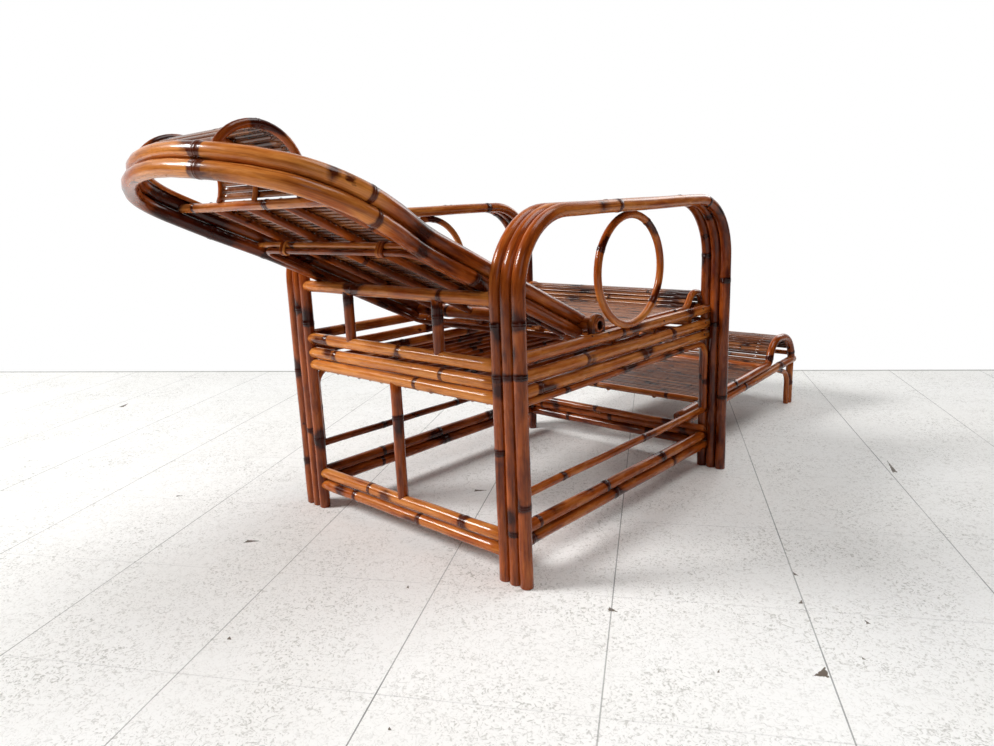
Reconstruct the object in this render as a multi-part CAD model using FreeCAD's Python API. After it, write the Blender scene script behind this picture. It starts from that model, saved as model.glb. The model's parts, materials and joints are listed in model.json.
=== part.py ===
import FreeCAD, Part
import math
import os

V = FreeCAD.Vector

# The chair is set out with X across it, Y from the rear posts towards the footrest and Z up from the
# floor. Lengths are millimetres. The pieces are moved at the end so that the origin lies on the floor
# under the middle of the whole chair.

# Daylight between poles that are nailed to each other, and between pieces that move past each other
nailed_gap = 0.2
running_gap = 0.3

# Arm loops: three poles side by side, each bent from foot to foot
chair_width = 666.0
post_spacing = 743.4
arm_rear_height = 650.0
arm_front_height = 661.0
arm_pole = 23.8
arm_corner_radius = 132.0

# How far a coped end reaches past the surface that it fits, as a share of the other pole's radius
cope_share = 0.3

# Side rails under the seat, outboard of the inner arm pole's axis
side_rail = 22.6
side_rail_outset = 6.0
top_rail_height = 393.0
second_rail_drop = 33.6
third_rail_drop = 27.7

# Low side rails
lower_rail = 16.0
lower_rail_height = 146.0
stretcher = 24.0
side_stretcher_height = 81.3

# Slim bent brace inside each side, under the third rail
brace_pole = 13.0
brace_outset = 4.0
brace_post_distance = 15.9
brace_corner_radius = 35.0

# Oval ring under each arm
ring_pole = 15.5
ring_outset = 12.0
ring_centre_y = 381.0
ring_length_share = 1.0615
ring_end_share = 0.93

# Rear of the frame
rear_rail = 24.0
rear_rail_offset = 2.4
rear_first_drop = 5.1
rear_second_drop = 31.0
rear_third_drop = 25.9
spindle = 21.0
spindle_spread = 129.0
rear_post_pole = 22.0
rear_stretcher_height = 82.0
rear_stretcher_drop = 28.0

# Seat
seat_pole = 16.0
seat_side_gap = 3.2
seat_above_rail = 3.0
seat_rear_y = 330.0
roll_foot_y = 688.0
roll_crest_y = 718.0
roll_rise = 35.0
roll_foot_radius = 28.0
roll_rear_radius = 24.0
roll_front_radius = 26.0
roll_end_drop = 24.0
cross_rail = 20.0
cross_rail_rear_y = 345.0
cross_rail_middle_y = 510.0
cross_rail_front_y = 668.0
seat_batten_width = 22.0
seat_batten_spread = 85.0

# Slim lengthwise poles under the seat, let in under the third rails
deck_pole = 12.0
deck_pole_pitch = 36.0
deck_pole_pairs = 7
deck_pole_drop = 11.5
deck_lap_share = 0.6

# Slats: split cane, flat underneath and crowned on top
slat_width = 10.0
slat_thickness = 4.3
slat_crown = 1.3
slat_rise = 2.0
seat_pitch = 11.8
back_pitch = 12.0
foot_pitch = 11.4
headrest_pitch = 11.0

# Pivot of the back, and the bent cane straps that hold it down on the side rails
pivot_bar = 28.0
pivot_y = 285.0
pivot_reach = 4.1
strap_inset = 5.0
strap_width = 16.0
strap_thickness = 6.5
strap_clearance = 1.6

# Back: two bent poles one on the other, hinged at their feet
recline = 24.95
hoop_pole = 26.0
hoop_side_gap = 11.2
hoop_flare = 37.0
hoop_straight = 388.5
hoop_shoulder = 597.5
hoop_end = 756.0
hoop_corner_radius = 110.0
pivot_above_parting = 7.0
edge_pole = 8.0
back_batten = 15.0
batten_inner_share = 0.232
batten_outer_share = 0.696
batten_top = 17.0
upper_crossbar = 16.0
upper_crossbar_along = 588.5
upper_crossbar_above = 6.0
lower_crossbar = 12.0
first_slat_along = 30.0

# Headrest roll on the back
headrest_pole = 13.0
headrest_spread_share = 0.5063
headrest_along = 665.5
headrest_above = 8.0
headrest_radius = 72.5
headrest_rib = 9.0
headrest_first_angle = 10.0
headrest_last_angle = 161.0

# Prop: a closed loop that swings under the back
prop_pole = 11.0
prop_side_gap = 0.5
prop_along = 439.5
prop_length = 437.5
prop_tilt = 1.2
prop_corner_radius = 30.0
lashing_spread_share = 0.642
lashing_width = 18.0
lashing_thickness = 2.5

# Footrest that slides out from under the seat
foot_rail = 24.0
foot_side_gap = 22.2
foot_rail_front_height = 142.0
foot_side_pole = 22.0
foot_side_rear_y = 697.0
foot_rise_y = 1252.0
foot_rise_lean = 26.0
foot_crest_height = 225.0
foot_front_y = 1431.0
foot_bend_radius = 24.0
foot_rear_crest_radius = 64.0
foot_front_crest_radius = 84.0
foot_end_depth = 4.0
foot_leg = 22.0
foot_leg_y = 1434.0
foot_leg_inset = 4.0
foot_brace = 16.0
foot_brace_top_y = 1300.0
foot_brace_shoulder_height = 100.0
foot_brace_radius = 45.0
foot_runner = 16.0
foot_runner_reach = 9.9
foot_deck_bar = 14.0
foot_deck_rear_y = 846.0
foot_base_pole = 20.0
foot_batten = 14.0
foot_batten_spread = 75.0
foot_bearer = 16.0
foot_bearer_rear_y = 905.0
foot_bearer_front_y = 1190.0
foot_front_bar_height = 162.0

# Places that follow from the sizes
outer_x = chair_width / 2 - arm_pole / 2
middle_x = outer_x - arm_pole - nailed_gap
inner_x = middle_x - arm_pole - nailed_gap
arm_rear_axis = arm_rear_height - arm_pole / 2
arm_front_axis = arm_front_height - arm_pole / 2
side_x = inner_x + side_rail_outset
top_rail_top = top_rail_height + side_rail / 2
second_rail_height = top_rail_height - second_rail_drop
third_rail_height = second_rail_height - third_rail_drop
rear_first_height = top_rail_height - rear_first_drop
rear_second_height = rear_first_height - rear_second_drop
rear_third_height = rear_second_height - rear_third_drop
seat_height = top_rail_height + seat_above_rail
inner_face_x = inner_x - arm_pole / 2
seat_pole_spread = inner_face_x - seat_side_gap - seat_pole / 2
hoop_spread = inner_face_x - hoop_side_gap - hoop_pole / 2
headrest_spread = hoop_spread * headrest_spread_share
prop_spread = hoop_spread - hoop_pole / 2 - prop_side_gap - prop_pole / 2
foot_rail_spread = inner_face_x - foot_side_gap - foot_rail / 2
foot_runner_end = side_x + foot_runner_reach
pivot_end = side_x + pivot_reach
brace_x = side_x + brace_outset
ring_x = side_x + ring_outset
pivot_z = top_rail_top + running_gap + pivot_bar / 2
stretcher_step = stretcher + nailed_gap
stretcher_top = side_stretcher_height + stretcher / 2
slat_middle = slat_thickness / 2


def side_plane(x):
    """Turns a distance forward and a height into a point of the plane at x."""
    return lambda forward, height: V(x, forward, height)


def back_point(x, along, above):
    """A point of the back: along it from the pivot, and above the plane between its two poles."""
    tilt = math.radians(recline)
    up = V(0, -math.cos(tilt), math.sin(tilt))
    face = V(0, math.sin(tilt), math.cos(tilt))
    return V(x, pivot_y, pivot_z) + up * along + face * (above - pivot_above_parting)


def prop_point(x, down):
    """A point of the prop's plane, down from its hinge."""
    tilt = math.radians(recline + prop_tilt)
    return back_point(x, prop_along, prop_above) + V(0, math.cos(tilt), -math.sin(tilt)) * down


def cylinder(start, end, diameter):
    """A straight pole from one point to another."""
    run = end - start
    return Part.makeCylinder(diameter / 2, run.Length, start, run)


def crosswise(half_length, y, z, diameter):
    """A straight pole across the chair."""
    return cylinder(V(-half_length, y, z), V(half_length, y, z), diameter)


def coped(pole, *others):
    """Cuts each (start, end, diameter) pole, with its daylight, out of a pole's ends."""
    for start, end, diameter in others:
        pole = pole.cut(cylinder(start, end, diameter + 2 * nailed_gap))
    return pole


def bent_wire(place, corners, radii, closed=False):
    """A centre line of straight runs joined by tangent arcs, one radius for each corner between."""
    flat = [V(a, b, 0) for a, b in corners]
    if closed:
        start = (flat[-1] + flat[0]) * 0.5
        flat = [start] + flat + [start]
    edges = []
    last = flat[0]
    for before, corner, after, radius in zip(flat, flat[1:], flat[2:], radii):
        back = (before - corner).normalize()
        ahead = (after - corner).normalize()
        half = back.getAngle(ahead) / 2
        centre = corner + (back + ahead).normalize() * (radius / math.sin(half))
        arc = [corner + back * (radius / math.tan(half)),
               centre + (corner - centre).normalize() * radius,
               corner + ahead * (radius / math.tan(half))]
        arc = [place(p.x, p.y) for p in arc]
        start = place(last.x, last.y)
        if start.distanceToPoint(arc[0]) > nailed_gap:
            edges.append(Part.LineSegment(start, arc[0]).toShape())
        edges.append(Part.Arc(*arc).toShape())
        last = corner + ahead * (radius / math.tan(half))
    edges.append(Part.LineSegment(place(last.x, last.y), place(flat[-1].x, flat[-1].y)).toShape())
    return Part.Wire(edges)


def moved_corners(corners, radii, rise):
    """The same bent line moved sideways to its left, for what lies along a bent pole."""
    moved = []
    bends = []
    flat = [V(a, b, 0) for a, b in corners]
    for index, corner in enumerate(flat):
        ahead = (flat[min(index + 1, len(flat) - 1)] - flat[min(index, len(flat) - 2)]).normalize()
        behind = (flat[max(index, 1)] - flat[max(index - 1, 0)]).normalize()
        normal = (V(-ahead.y, ahead.x, 0) + V(-behind.y, behind.x, 0)).normalize()
        half = ahead.getAngle(behind) / 2
        moved.append(corner + normal * (rise / math.cos(half)))
        if 0 < index < len(flat) - 1:
            left = behind.x * ahead.y - behind.y * ahead.x > 0
            bends.append(radii[index - 1] + (-rise if left else rise))
    return [(p.x, p.y) for p in moved], bends


class Track:
    """Follows a centre line over a plane, one straight run or bend after another."""

    def __init__(self, place, start, heading):
        self.place = place
        self.spot = V(start[0], start[1], 0)
        self.heading = math.radians(heading)
        self.edges = []

    def point(self, spot):
        return self.place(spot.x, spot.y)

    def run(self, length):
        spot = self.spot + V(math.cos(self.heading), math.sin(self.heading), 0) * length
        self.edges.append(Part.LineSegment(self.point(self.spot), self.point(spot)).toShape())
        self.spot = spot
        return self

    def bend(self, radius, degrees):
        """Bends to the left by the angle, or to the right where it is negative."""
        side = math.copysign(1, degrees)
        to_centre = self.heading + side * math.pi / 2
        centre = self.spot + V(math.cos(to_centre), math.sin(to_centre), 0) * radius
        turn = math.radians(degrees)
        spots = []
        for part in (0.5, 1):
            angle = to_centre + math.pi + turn * part
            spots.append(centre + V(math.cos(angle), math.sin(angle), 0) * radius)
        self.edges.append(Part.Arc(*[self.point(s) for s in [self.spot] + spots]).toShape())
        self.spot = spots[1]
        self.heading += turn
        return self

    def wire(self):
        return Part.Wire(self.edges)


def swept(wire, diameter):
    """A round pole along a centre line."""
    first = wire.OrderedEdges[0]
    start = first.valueAt(first.FirstParameter)
    section = Part.Wire([Part.makeCircle(diameter / 2, start, first.tangentAt(first.FirstParameter))])
    return wire.makePipeShell([section], True, False)


def slat(centre, across, up, half_length):
    """A slat whose underside is centred on a point, with its width along the direction across."""
    side = across * (slat_width / 2)
    low = [centre + side, centre - side]
    high = [p + up * (slat_thickness - slat_crown) for p in low]
    crown = Part.Arc(high[1], centre + up * slat_thickness, high[0]).toShape()
    lines = [Part.LineSegment(a, b).toShape()
             for a, b in ((high[0], low[0]), (low[0], low[1]), (low[1], high[1]))]
    face = Part.Face(Part.Wire(lines + [crown]))
    face.translate(V(-half_length, 0, 0))
    return face.extrude(V(2 * half_length, 0, 0))


def slats_along(wire, first, pitch, end, half_length):
    """Slats side by side along a line, from a first distance up to an end distance."""
    slats = []
    distance = first
    while distance < end:
        rest = distance
        for edge in wire.OrderedEdges:
            if rest <= edge.Length:
                break
            rest -= edge.Length
        where = edge.getParameterByLength(min(rest, edge.Length))
        across = edge.tangentAt(where)
        up = V(1, 0, 0).cross(across)
        slats.append(slat(edge.valueAt(where) - up * slat_middle, across, up, half_length))
        distance += pitch
    return slats


def both_sides(name, shape):
    """The piece at the sitter's right, and its mirror image at the left."""
    return {name.format("right"): shape, name.format("left"): shape.mirror(V(0, 0, 0), V(1, 0, 0))}


def post(x, y=0.0):
    """The upright stretch of an arm pole, for coping what meets it."""
    return V(x, y, 0), V(x, y, arm_front_axis), arm_pole


def side_rail_line(height, diameter):
    """A side rail's line, for coping what meets it."""
    return V(side_x, 0, height), V(side_x, post_spacing, height), diameter


def arm_loops():
    """Three poles a side, bent up over the arm and down again."""
    loops = {}
    corners = [(0, 0), (0, arm_rear_axis), (post_spacing, arm_front_axis), (post_spacing, 0)]
    for name, x in (("outer", outer_x), ("middle", middle_x), ("inner", inner_x)):
        wire = bent_wire(side_plane(x), corners, [arm_corner_radius] * 2)
        loops.update(both_sides("arm_loop_{}_" + name, swept(wire, arm_pole)))
    return loops


def arm_rings():
    """An oval ring held between the top side rail and the groove of two arm poles."""
    to_rail = side_rail / 2 + ring_pole / 2 + nailed_gap
    to_arm = arm_pole / 2 + ring_pole / 2 + nailed_gap
    bottom = top_rail_height + math.sqrt(to_rail ** 2 - ring_outset ** 2)
    arm_axis = arm_rear_axis + (arm_front_axis - arm_rear_axis) * ring_centre_y / post_spacing
    top = arm_axis - math.sqrt(to_arm ** 2 - (middle_x - ring_x) ** 2)
    half_high = (top - bottom) / 2
    end_radius = half_high * ring_end_share
    reach = half_high * ring_length_share - end_radius
    flat_radius = (reach ** 2 + half_high ** 2 - end_radius ** 2) / (2 * (half_high - end_radius))
    flat = math.degrees(math.atan2(reach, flat_radius - half_high))
    track = Track(side_plane(ring_x), (ring_centre_y, bottom), 0)
    for end in range(2):
        track.bend(flat_radius, flat).bend(end_radius, 180 - 2 * flat).bend(flat_radius, flat)
    return both_sides("arm_ring_{}", swept(track.wire(), ring_pole))


def lengthwise(x, z, diameter, posts):
    """A side rail from post to post, its ends coped to them."""
    inset = arm_pole / 2 * (1 - cope_share)
    rail = cylinder(V(x, inset, z), V(x, post_spacing - inset, z), diameter)
    ends = [post(p, y) for p in posts for y in (0, post_spacing)]
    return coped(rail, *ends)


def side_frames():
    """The side rails, the slim bent brace, the low rail and the pair of stretchers."""
    pieces = {}
    posts = (inner_x, middle_x)
    for name, z in (("top", top_rail_height), ("second", second_rail_height), ("third", third_rail_height)):
        rail = lengthwise(side_x, z, side_rail, posts)
        pieces.update(both_sides("seat_rail_{}_" + name, rail))
    low = lengthwise(side_x, lower_rail_height, lower_rail, posts)
    pieces.update(both_sides("lower_rail_{}", low))
    pair = [lengthwise(side_x, side_stretcher_height - step, stretcher, posts) for step in (0, stretcher_step)]
    pieces.update(both_sides("side_stretchers_{}", Part.makeCompound(pair)))
    top = third_rail_height - side_rail / 2 - nailed_gap - brace_pole / 2
    front = post_spacing - brace_post_distance
    corners = [(brace_post_distance, lower_rail_height), (brace_post_distance, top),
               (front, top), (front, lower_rail_height)]
    brace = swept(bent_wire(side_plane(brace_x), corners, [brace_corner_radius] * 2), brace_pole)
    brace = coped(brace, side_rail_line(lower_rail_height, lower_rail))
    pieces.update(both_sides("arch_brace_{}", brace))
    return pieces


def end_rail(y, z, diameter, post_y):
    """A rail across the chair between the inner posts, its ends coped to them."""
    rail = crosswise(inner_x - arm_pole / 2 * (1 - cope_share), y, z, diameter)
    return coped(rail, post(inner_x, post_y), post(-inner_x, post_y))


def rear_top_height():
    """The height at which the reclined back's lower pole rests on the rear top rail."""
    tilt = math.radians(recline)
    below = pivot_above_parting + hoop_pole + rear_rail / 2 + running_gap
    along = (pivot_y - rear_rail_offset - below * math.sin(tilt)) / math.cos(tilt)
    return pivot_z + along * math.sin(tilt) - below * math.cos(tilt)


def rear_frame():
    """Rear rails, the two short spindles, the centre post and the stretchers."""
    y = rear_rail_offset
    top = rear_top_height()
    heights = (rear_first_height, rear_second_height, rear_third_height)
    low_heights = (rear_stretcher_height, rear_stretcher_height - rear_stretcher_drop)
    line = {z: (V(-inner_x, y, z), V(inner_x, y, z), rear_rail) for z in heights + low_heights + (top,)}
    spindles = [coped(cylinder(V(x, y, rear_first_height), V(x, y, top), spindle),
                      line[rear_first_height], line[top]) for x in (-spindle_spread, spindle_spread)]
    centre = cylinder(V(0, y, rear_stretcher_height), V(0, y, rear_third_height), rear_post_pole)
    return {
        "rear_top_rail": end_rail(y, top, rear_rail, 0),
        "rear_spindles": Part.makeCompound(spindles),
        "rear_seat_rails": Part.makeCompound([end_rail(y, z, rear_rail, 0) for z in heights]),
        "rear_post": coped(centre, line[rear_stretcher_height], line[rear_third_height]),
        "rear_stretchers": Part.makeCompound([end_rail(y, z, stretcher, 0) for z in low_heights]),
    }


def front_frame():
    """The rails under the seat roll and the pair of stretchers."""
    y = post_spacing
    heights = (top_rail_height, second_rail_height, third_rail_height)
    pair = [end_rail(y, side_stretcher_height - step, stretcher, y) for step in (0, stretcher_step)]
    return {
        "front_seat_rails": Part.makeCompound([end_rail(y, z, side_rail, y) for z in heights]),
        "front_stretchers": Part.makeCompound(pair),
    }


def seat_line():
    """The seat's outline from the rear edge over the front roll, with its bend radii."""
    front = post_spacing + side_rail / 2 + nailed_gap + seat_pole / 2
    roll_height = seat_height + roll_rise
    corners = [(seat_rear_y, seat_height), (roll_foot_y, seat_height), (roll_crest_y, roll_height),
               (front, roll_height), (front, seat_height - roll_end_drop)]
    return corners, [roll_foot_radius, roll_rear_radius, roll_front_radius]


def seat():
    """Side poles bent over the roll, cross rails, laths and slats let in between the side poles."""
    corners, radii = seat_line()
    pole = swept(bent_wire(side_plane(seat_pole_spread), corners, radii), seat_pole)
    pieces = both_sides("seat_side_pole_{}", pole)
    rail_z = seat_height - seat_pole / 2 - nailed_gap - cross_rail / 2
    rails = []
    for y in (cross_rail_rear_y, cross_rail_middle_y, cross_rail_front_y):
        rail = crosswise(side_x - side_rail_outset, y, rail_z, cross_rail)
        for height in (top_rail_height, second_rail_height):
            start, end, diameter = side_rail_line(height, side_rail)
            mirrored = (V(-start.x, start.y, start.z), V(-end.x, end.y, end.z), diameter)
            rail = coped(rail, (start, end, diameter), mirrored)
        rails.append(rail)
    pieces["seat_cross_rails"] = Part.makeCompound(rails)
    low = rail_z + cross_rail / 2 + nailed_gap
    lath_height = seat_height + slat_rise - slat_middle - nailed_gap - low
    lath_length = roll_foot_y - roll_foot_radius - seat_rear_y
    laths = []
    for x in (-seat_batten_spread, seat_batten_spread):
        corner = V(x - seat_batten_width / 2, seat_rear_y, low)
        laths.append(Part.makeBox(seat_batten_width, lath_length, lath_height, corner))
    pieces["seat_battens"] = Part.makeCompound(laths)
    wire = bent_wire(side_plane(0), *moved_corners(corners, radii, slat_rise))
    half = seat_pole_spread - seat_pole / 2 - nailed_gap
    slats = slats_along(wire, slat_width, seat_pitch, wire.Length - slat_width, half)
    pieces["seat_slats"] = Part.makeCompound(slats)
    return pieces


def seat_deck():
    """Slim lengthwise poles under the seat, their ends notched to fit under the third rails."""
    z = rear_third_height - deck_pole_drop
    rails = [(V(-inner_x, rear_rail_offset, rear_third_height), V(inner_x, rear_rail_offset, rear_third_height),
              rear_rail),
             (V(-inner_x, post_spacing, third_rail_height), V(inner_x, post_spacing, third_rail_height), side_rail)]
    rear = rear_rail_offset + rear_rail / 2 * deck_lap_share
    front = post_spacing - side_rail / 2 * deck_lap_share
    poles = []
    for pair in range(deck_pole_pairs):
        x = deck_pole_pitch * (pair + 1 / 2)
        pole = coped(cylinder(V(x, rear, z), V(x, front, z), deck_pole), *rails)
        poles += [pole, pole.mirror(V(0, 0, 0), V(1, 0, 0))]
    return {"seat_deck_poles": Part.makeCompound(poles)}


def pivot_straps():
    """Bent cane over each end of the pivot bar, its feet coped to the top side rail."""
    inner = pivot_bar / 2 + strap_clearance
    outer = inner + strap_thickness
    x = side_x - strap_inset - strap_width / 2
    foot = V(x, pivot_y, top_rail_height)
    hub = V(x, pivot_y, pivot_z)
    direction = V(strap_width, 0, 0)

    def arch(radius):
        top = hub + V(0, 0, radius)
        sides = [V(0, -radius, 0), V(0, radius, 0)]
        lines = [(hub + sides[1], foot + sides[1]), (foot + sides[1], foot + sides[0]),
                 (foot + sides[0], hub + sides[0])]
        edges = [Part.LineSegment(a, b).toShape() for a, b in lines]
        edges.append(Part.Arc(hub + sides[0], top, hub + sides[1]).toShape())
        return Part.Face(Part.Wire(edges)).extrude(direction)

    strap = coped(arch(outer).cut(arch(inner)), side_rail_line(top_rail_height, side_rail))
    return both_sides("pivot_strap_{}", strap)


def flare_radius():
    """The radius of the two equal bends that spread the back's poles towards the head."""
    length = hoop_shoulder - hoop_straight
    return (length ** 2 + hoop_flare ** 2) / (4 * hoop_flare)


def head_arch():
    """The radius of the head's flat top arc, and the angle of its half."""
    half_width = hoop_spread + hoop_flare
    height = hoop_end - hoop_shoulder
    reach = half_width - hoop_corner_radius
    radius = (reach ** 2 + height ** 2 - hoop_corner_radius ** 2) / (2 * (height - hoop_corner_radius))
    return radius, math.degrees(math.atan2(reach, radius - height))


def hoop_half_width(along):
    """Half the distance between the centre lines of the back's side poles."""
    radius = flare_radius()
    middle = (hoop_straight + hoop_shoulder) / 2
    if along < hoop_straight:
        return hoop_spread
    if along < middle:
        return hoop_spread + radius - math.sqrt(radius ** 2 - (along - hoop_straight) ** 2)
    return hoop_spread + hoop_flare - radius + math.sqrt(radius ** 2 - (hoop_shoulder - along) ** 2)


def hoop_side(track, inset):
    """Adds one side of the hoop, from the pivot up to the end of the head's corner."""
    radius = flare_radius()
    turn = math.degrees(math.asin((hoop_shoulder - hoop_straight) / 2 / radius))
    half_arc = head_arch()[1]
    track.run(hoop_straight)
    track.bend(radius + inset, -turn).bend(radius - inset, turn)
    return track.bend(hoop_corner_radius - inset, 90 - half_arc)


def hoop_wire(above):
    """The whole centre line of one of the back's two bent poles."""
    radius, half_arc = head_arch()
    flare = flare_radius()
    turn = math.degrees(math.asin((hoop_shoulder - hoop_straight) / 2 / flare))
    track = Track(lambda x, along: back_point(x, along, above), (hoop_spread, 0), 90)
    hoop_side(track, 0)
    track.bend(radius, 2 * half_arc).bend(hoop_corner_radius, 90 - half_arc)
    track.bend(flare, turn).bend(flare, -turn).run(hoop_straight)
    return track.wire()


def back_cross(half_length, along, above, diameter):
    """A pole across the back."""
    return cylinder(back_point(-half_length, along, above), back_point(half_length, along, above), diameter)


pivot_line = (V(-pivot_end, pivot_y, pivot_z), V(pivot_end, pivot_y, pivot_z), pivot_bar)
hoop_above = hoop_pole / 2 + nailed_gap / 2
batten_above = batten_top - back_batten / 2
lower_crossbar_above = batten_above - back_batten / 2 - nailed_gap - lower_crossbar / 2
prop_above = lower_crossbar_above - lower_crossbar / 2 - running_gap - prop_pole / 2


def back_frame():
    """The two bent poles, the slim edge poles, the pivot bar and the crossbars."""
    pieces = {}
    fat = []
    for name, above in (("back_hoop_rear", -hoop_above), ("back_hoop_front", hoop_above)):
        wire = hoop_wire(above)
        pieces[name] = coped(swept(wire, hoop_pole), pivot_line)
        fat.append(swept(wire, hoop_pole + 2 * nailed_gap))
    above = batten_top + nailed_gap + slat_thickness + edge_pole / 2
    apart = hoop_pole / 2 + edge_pole / 2 + nailed_gap
    inset = math.sqrt(apart ** 2 - (above - hoop_above) ** 2)
    track = Track(lambda x, along: back_point(x, along, above), (hoop_spread - inset, 0), 90)
    edge = coped(swept(hoop_side(track, inset).wire(), edge_pole), pivot_line)
    pieces["back_edge_poles"] = Part.makeCompound([edge, edge.mirror(V(0, 0, 0), V(1, 0, 0))])
    pieces["pivot_bar"] = crosswise(pivot_end, pivot_y, pivot_z, pivot_bar)
    for name, along, bar_above, diameter in (
            ("back_crossbar_upper", upper_crossbar_along, upper_crossbar_above, upper_crossbar),
            ("back_crossbar_lower", prop_along, lower_crossbar_above, lower_crossbar)):
        half = hoop_half_width(along) - hoop_pole / 2 * (1 - cope_share)
        bar = back_cross(half, along, bar_above, diameter)
        for hoop in fat:
            bar = bar.cut(hoop)
        pieces[name] = bar
    return pieces


def back_panel():
    """Lengthwise battens and the slats that lie on them, let in between the side poles."""
    upper = (back_point(-hoop_spread, upper_crossbar_along, upper_crossbar_above),
             back_point(hoop_spread, upper_crossbar_along, upper_crossbar_above), upper_crossbar)
    battens = []
    for share in (-batten_outer_share, -batten_inner_share, batten_inner_share, batten_outer_share):
        x = hoop_spread * share
        batten = cylinder(back_point(x, 0, batten_above),
                          back_point(x, upper_crossbar_along, batten_above), back_batten)
        battens.append(coped(batten, pivot_line, upper))
    across = (back_point(0, 1, 0) - back_point(0, 0, 0)).normalize()
    up = (back_point(0, 0, 1) - back_point(0, 0, 0)).normalize()
    bottom = batten_top + nailed_gap
    beside = math.sqrt((hoop_pole / 2 + nailed_gap) ** 2 - (bottom - hoop_above) ** 2)
    slats = []
    along = first_slat_along
    while along < upper_crossbar_along - upper_crossbar / 2 - slat_width / 2:
        width = min(hoop_half_width(along - slat_width / 2), hoop_half_width(along + slat_width / 2))
        slats.append(slat(back_point(0, along, bottom), across, up, width - beside - nailed_gap))
        along += back_pitch
    return {"back_battens": Part.makeCompound(battens), "back_slats": Part.makeCompound(slats)}


def headrest():
    """Two bent end poles, the slats let in between them and a slimmer rib under the slats."""
    hoop = swept(hoop_wire(hoop_above), hoop_pole + 2 * nailed_gap)
    reach = headrest_spread * 2
    crossbar = (back_point(-reach, upper_crossbar_along, upper_crossbar_above),
                back_point(reach, upper_crossbar_along, upper_crossbar_above), upper_crossbar)

    def arch(x, radius, diameter):
        def plane(along, above):
            return back_point(x, along, above)

        crest = headrest_above + radius
        corners = [(headrest_along - radius, upper_crossbar_above), (headrest_along - radius, crest),
                   (headrest_along + radius, crest), (headrest_along + radius, hoop_above)]
        return swept(bent_wire(plane, corners, [radius] * 2), diameter)

    end = coped(arch(headrest_spread, headrest_radius, headrest_pole), crossbar).cut(hoop)
    pieces = both_sides("headrest_arch_{}", end)
    half = headrest_spread - headrest_pole / 2 - nailed_gap
    across = (back_point(0, 1, 0) - back_point(0, 0, 0)).normalize()
    above = (back_point(0, 0, 1) - back_point(0, 0, 0)).normalize()
    slats = []
    angle = headrest_first_angle
    while angle < headrest_last_angle:
        turn = math.radians(angle)
        outward = across * -math.cos(turn) + above * math.sin(turn)
        centre = back_point(0, headrest_along, headrest_above) + outward * (headrest_radius - slat_middle)
        slats.append(slat(centre, outward.cross(V(1, 0, 0)), outward, half))
        angle += math.degrees(headrest_pitch / headrest_radius)
    pieces["headrest_slats"] = Part.makeCompound(slats)
    rib_radius = headrest_radius - slat_middle - nailed_gap - headrest_rib / 2
    track = Track(lambda a, b: back_point(0, a, b), (headrest_along - rib_radius, headrest_above), 90)
    rib = coped(swept(track.bend(rib_radius, -headrest_last_angle).wire(), headrest_rib), crossbar)
    pieces["headrest_rib"] = rib
    return pieces


def prop():
    """The closed loop under the back, and the lashings that hinge it to the lower crossbar."""
    corners = [(-prop_spread, 0), (prop_spread, 0), (prop_spread, prop_length), (-prop_spread, prop_length)]
    loop = swept(bent_wire(prop_point, corners, [prop_corner_radius] * 4, closed=True), prop_pole)
    loose = lower_crossbar / 2 + running_gap
    lashings = []
    for x in (-prop_spread * lashing_spread_share, prop_spread * lashing_spread_share):
        low = back_point(x - lashing_width / 2, prop_along, prop_above)
        high = back_point(x - lashing_width / 2, prop_along, lower_crossbar_above)
        along = (back_point(0, 1, 0) - back_point(0, 0, 0)).normalize()
        above = (high - low).normalize()

        def band(radius):
            side = along * radius
            edges = [Part.LineSegment(low + side, high + side).toShape(),
                     Part.Arc(high + side, high + above * radius, high - side).toShape(),
                     Part.LineSegment(high - side, low - side).toShape(),
                     Part.Arc(low - side, low - above * radius, low + side).toShape()]
            return Part.Face(Part.Wire(edges)).extrude(V(lashing_width, 0, 0))

        lashings.append(band(loose + lashing_thickness).cut(band(loose)))
    return {"prop_hoop": loop, "prop_lashings": Part.makeCompound(lashings)}


foot_runner_z = stretcher_top + running_gap + foot_runner / 2
foot_runner_y = post_spacing - arm_pole / 2 - running_gap - foot_runner / 2
foot_rail_rear_height = stretcher_top + running_gap + foot_rail / 2
foot_slope = math.atan2(foot_rail_front_height - foot_rail_rear_height, foot_leg_y - post_spacing)
foot_side_step = foot_rail / 2 + nailed_gap + foot_side_pole / 2


def foot_rail_z(y):
    """The height of the footrest's lower rail."""
    return foot_rail_rear_height + (y - post_spacing) * math.tan(foot_slope)


def foot_side_z(y):
    """The height of the footrest's upper side pole, which lies along the lower rail."""
    return foot_rail_z(y) + foot_side_step / math.cos(foot_slope)


def foot_side_line():
    """The outline of the footrest's upper side pole, over the scroll at its front."""
    corners = [(foot_side_rear_y, foot_side_z(foot_side_rear_y)), (foot_rise_y, foot_side_z(foot_rise_y)),
               (foot_rise_y + foot_rise_lean, foot_crest_height), (foot_front_y, foot_crest_height),
               (foot_front_y, foot_rail_z(foot_front_y) - foot_end_depth)]
    return corners, [foot_bend_radius, foot_rear_crest_radius, foot_front_crest_radius]


def foot_rail_line(x):
    """The line of a lower rail of the footrest, for coping what meets it."""
    front = foot_leg_y + foot_leg / 2
    return V(x, foot_runner_y, foot_rail_z(foot_runner_y)), V(x, front, foot_rail_z(front)), foot_rail


def foot_cross(y, z, diameter, fit_x, fit_diameter):
    """A pole across the footrest, its ends coped to the side poles or rails at the same height."""
    bar = crosswise(fit_x - fit_diameter / 2 * (1 - cope_share), y, z, diameter)
    step = V(0, math.cos(foot_slope), math.sin(foot_slope)) * fit_diameter
    for x in (-fit_x, fit_x):
        middle = V(x, y, z)
        bar = coped(bar, (middle - step, middle + step, fit_diameter))
    return bar


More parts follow.
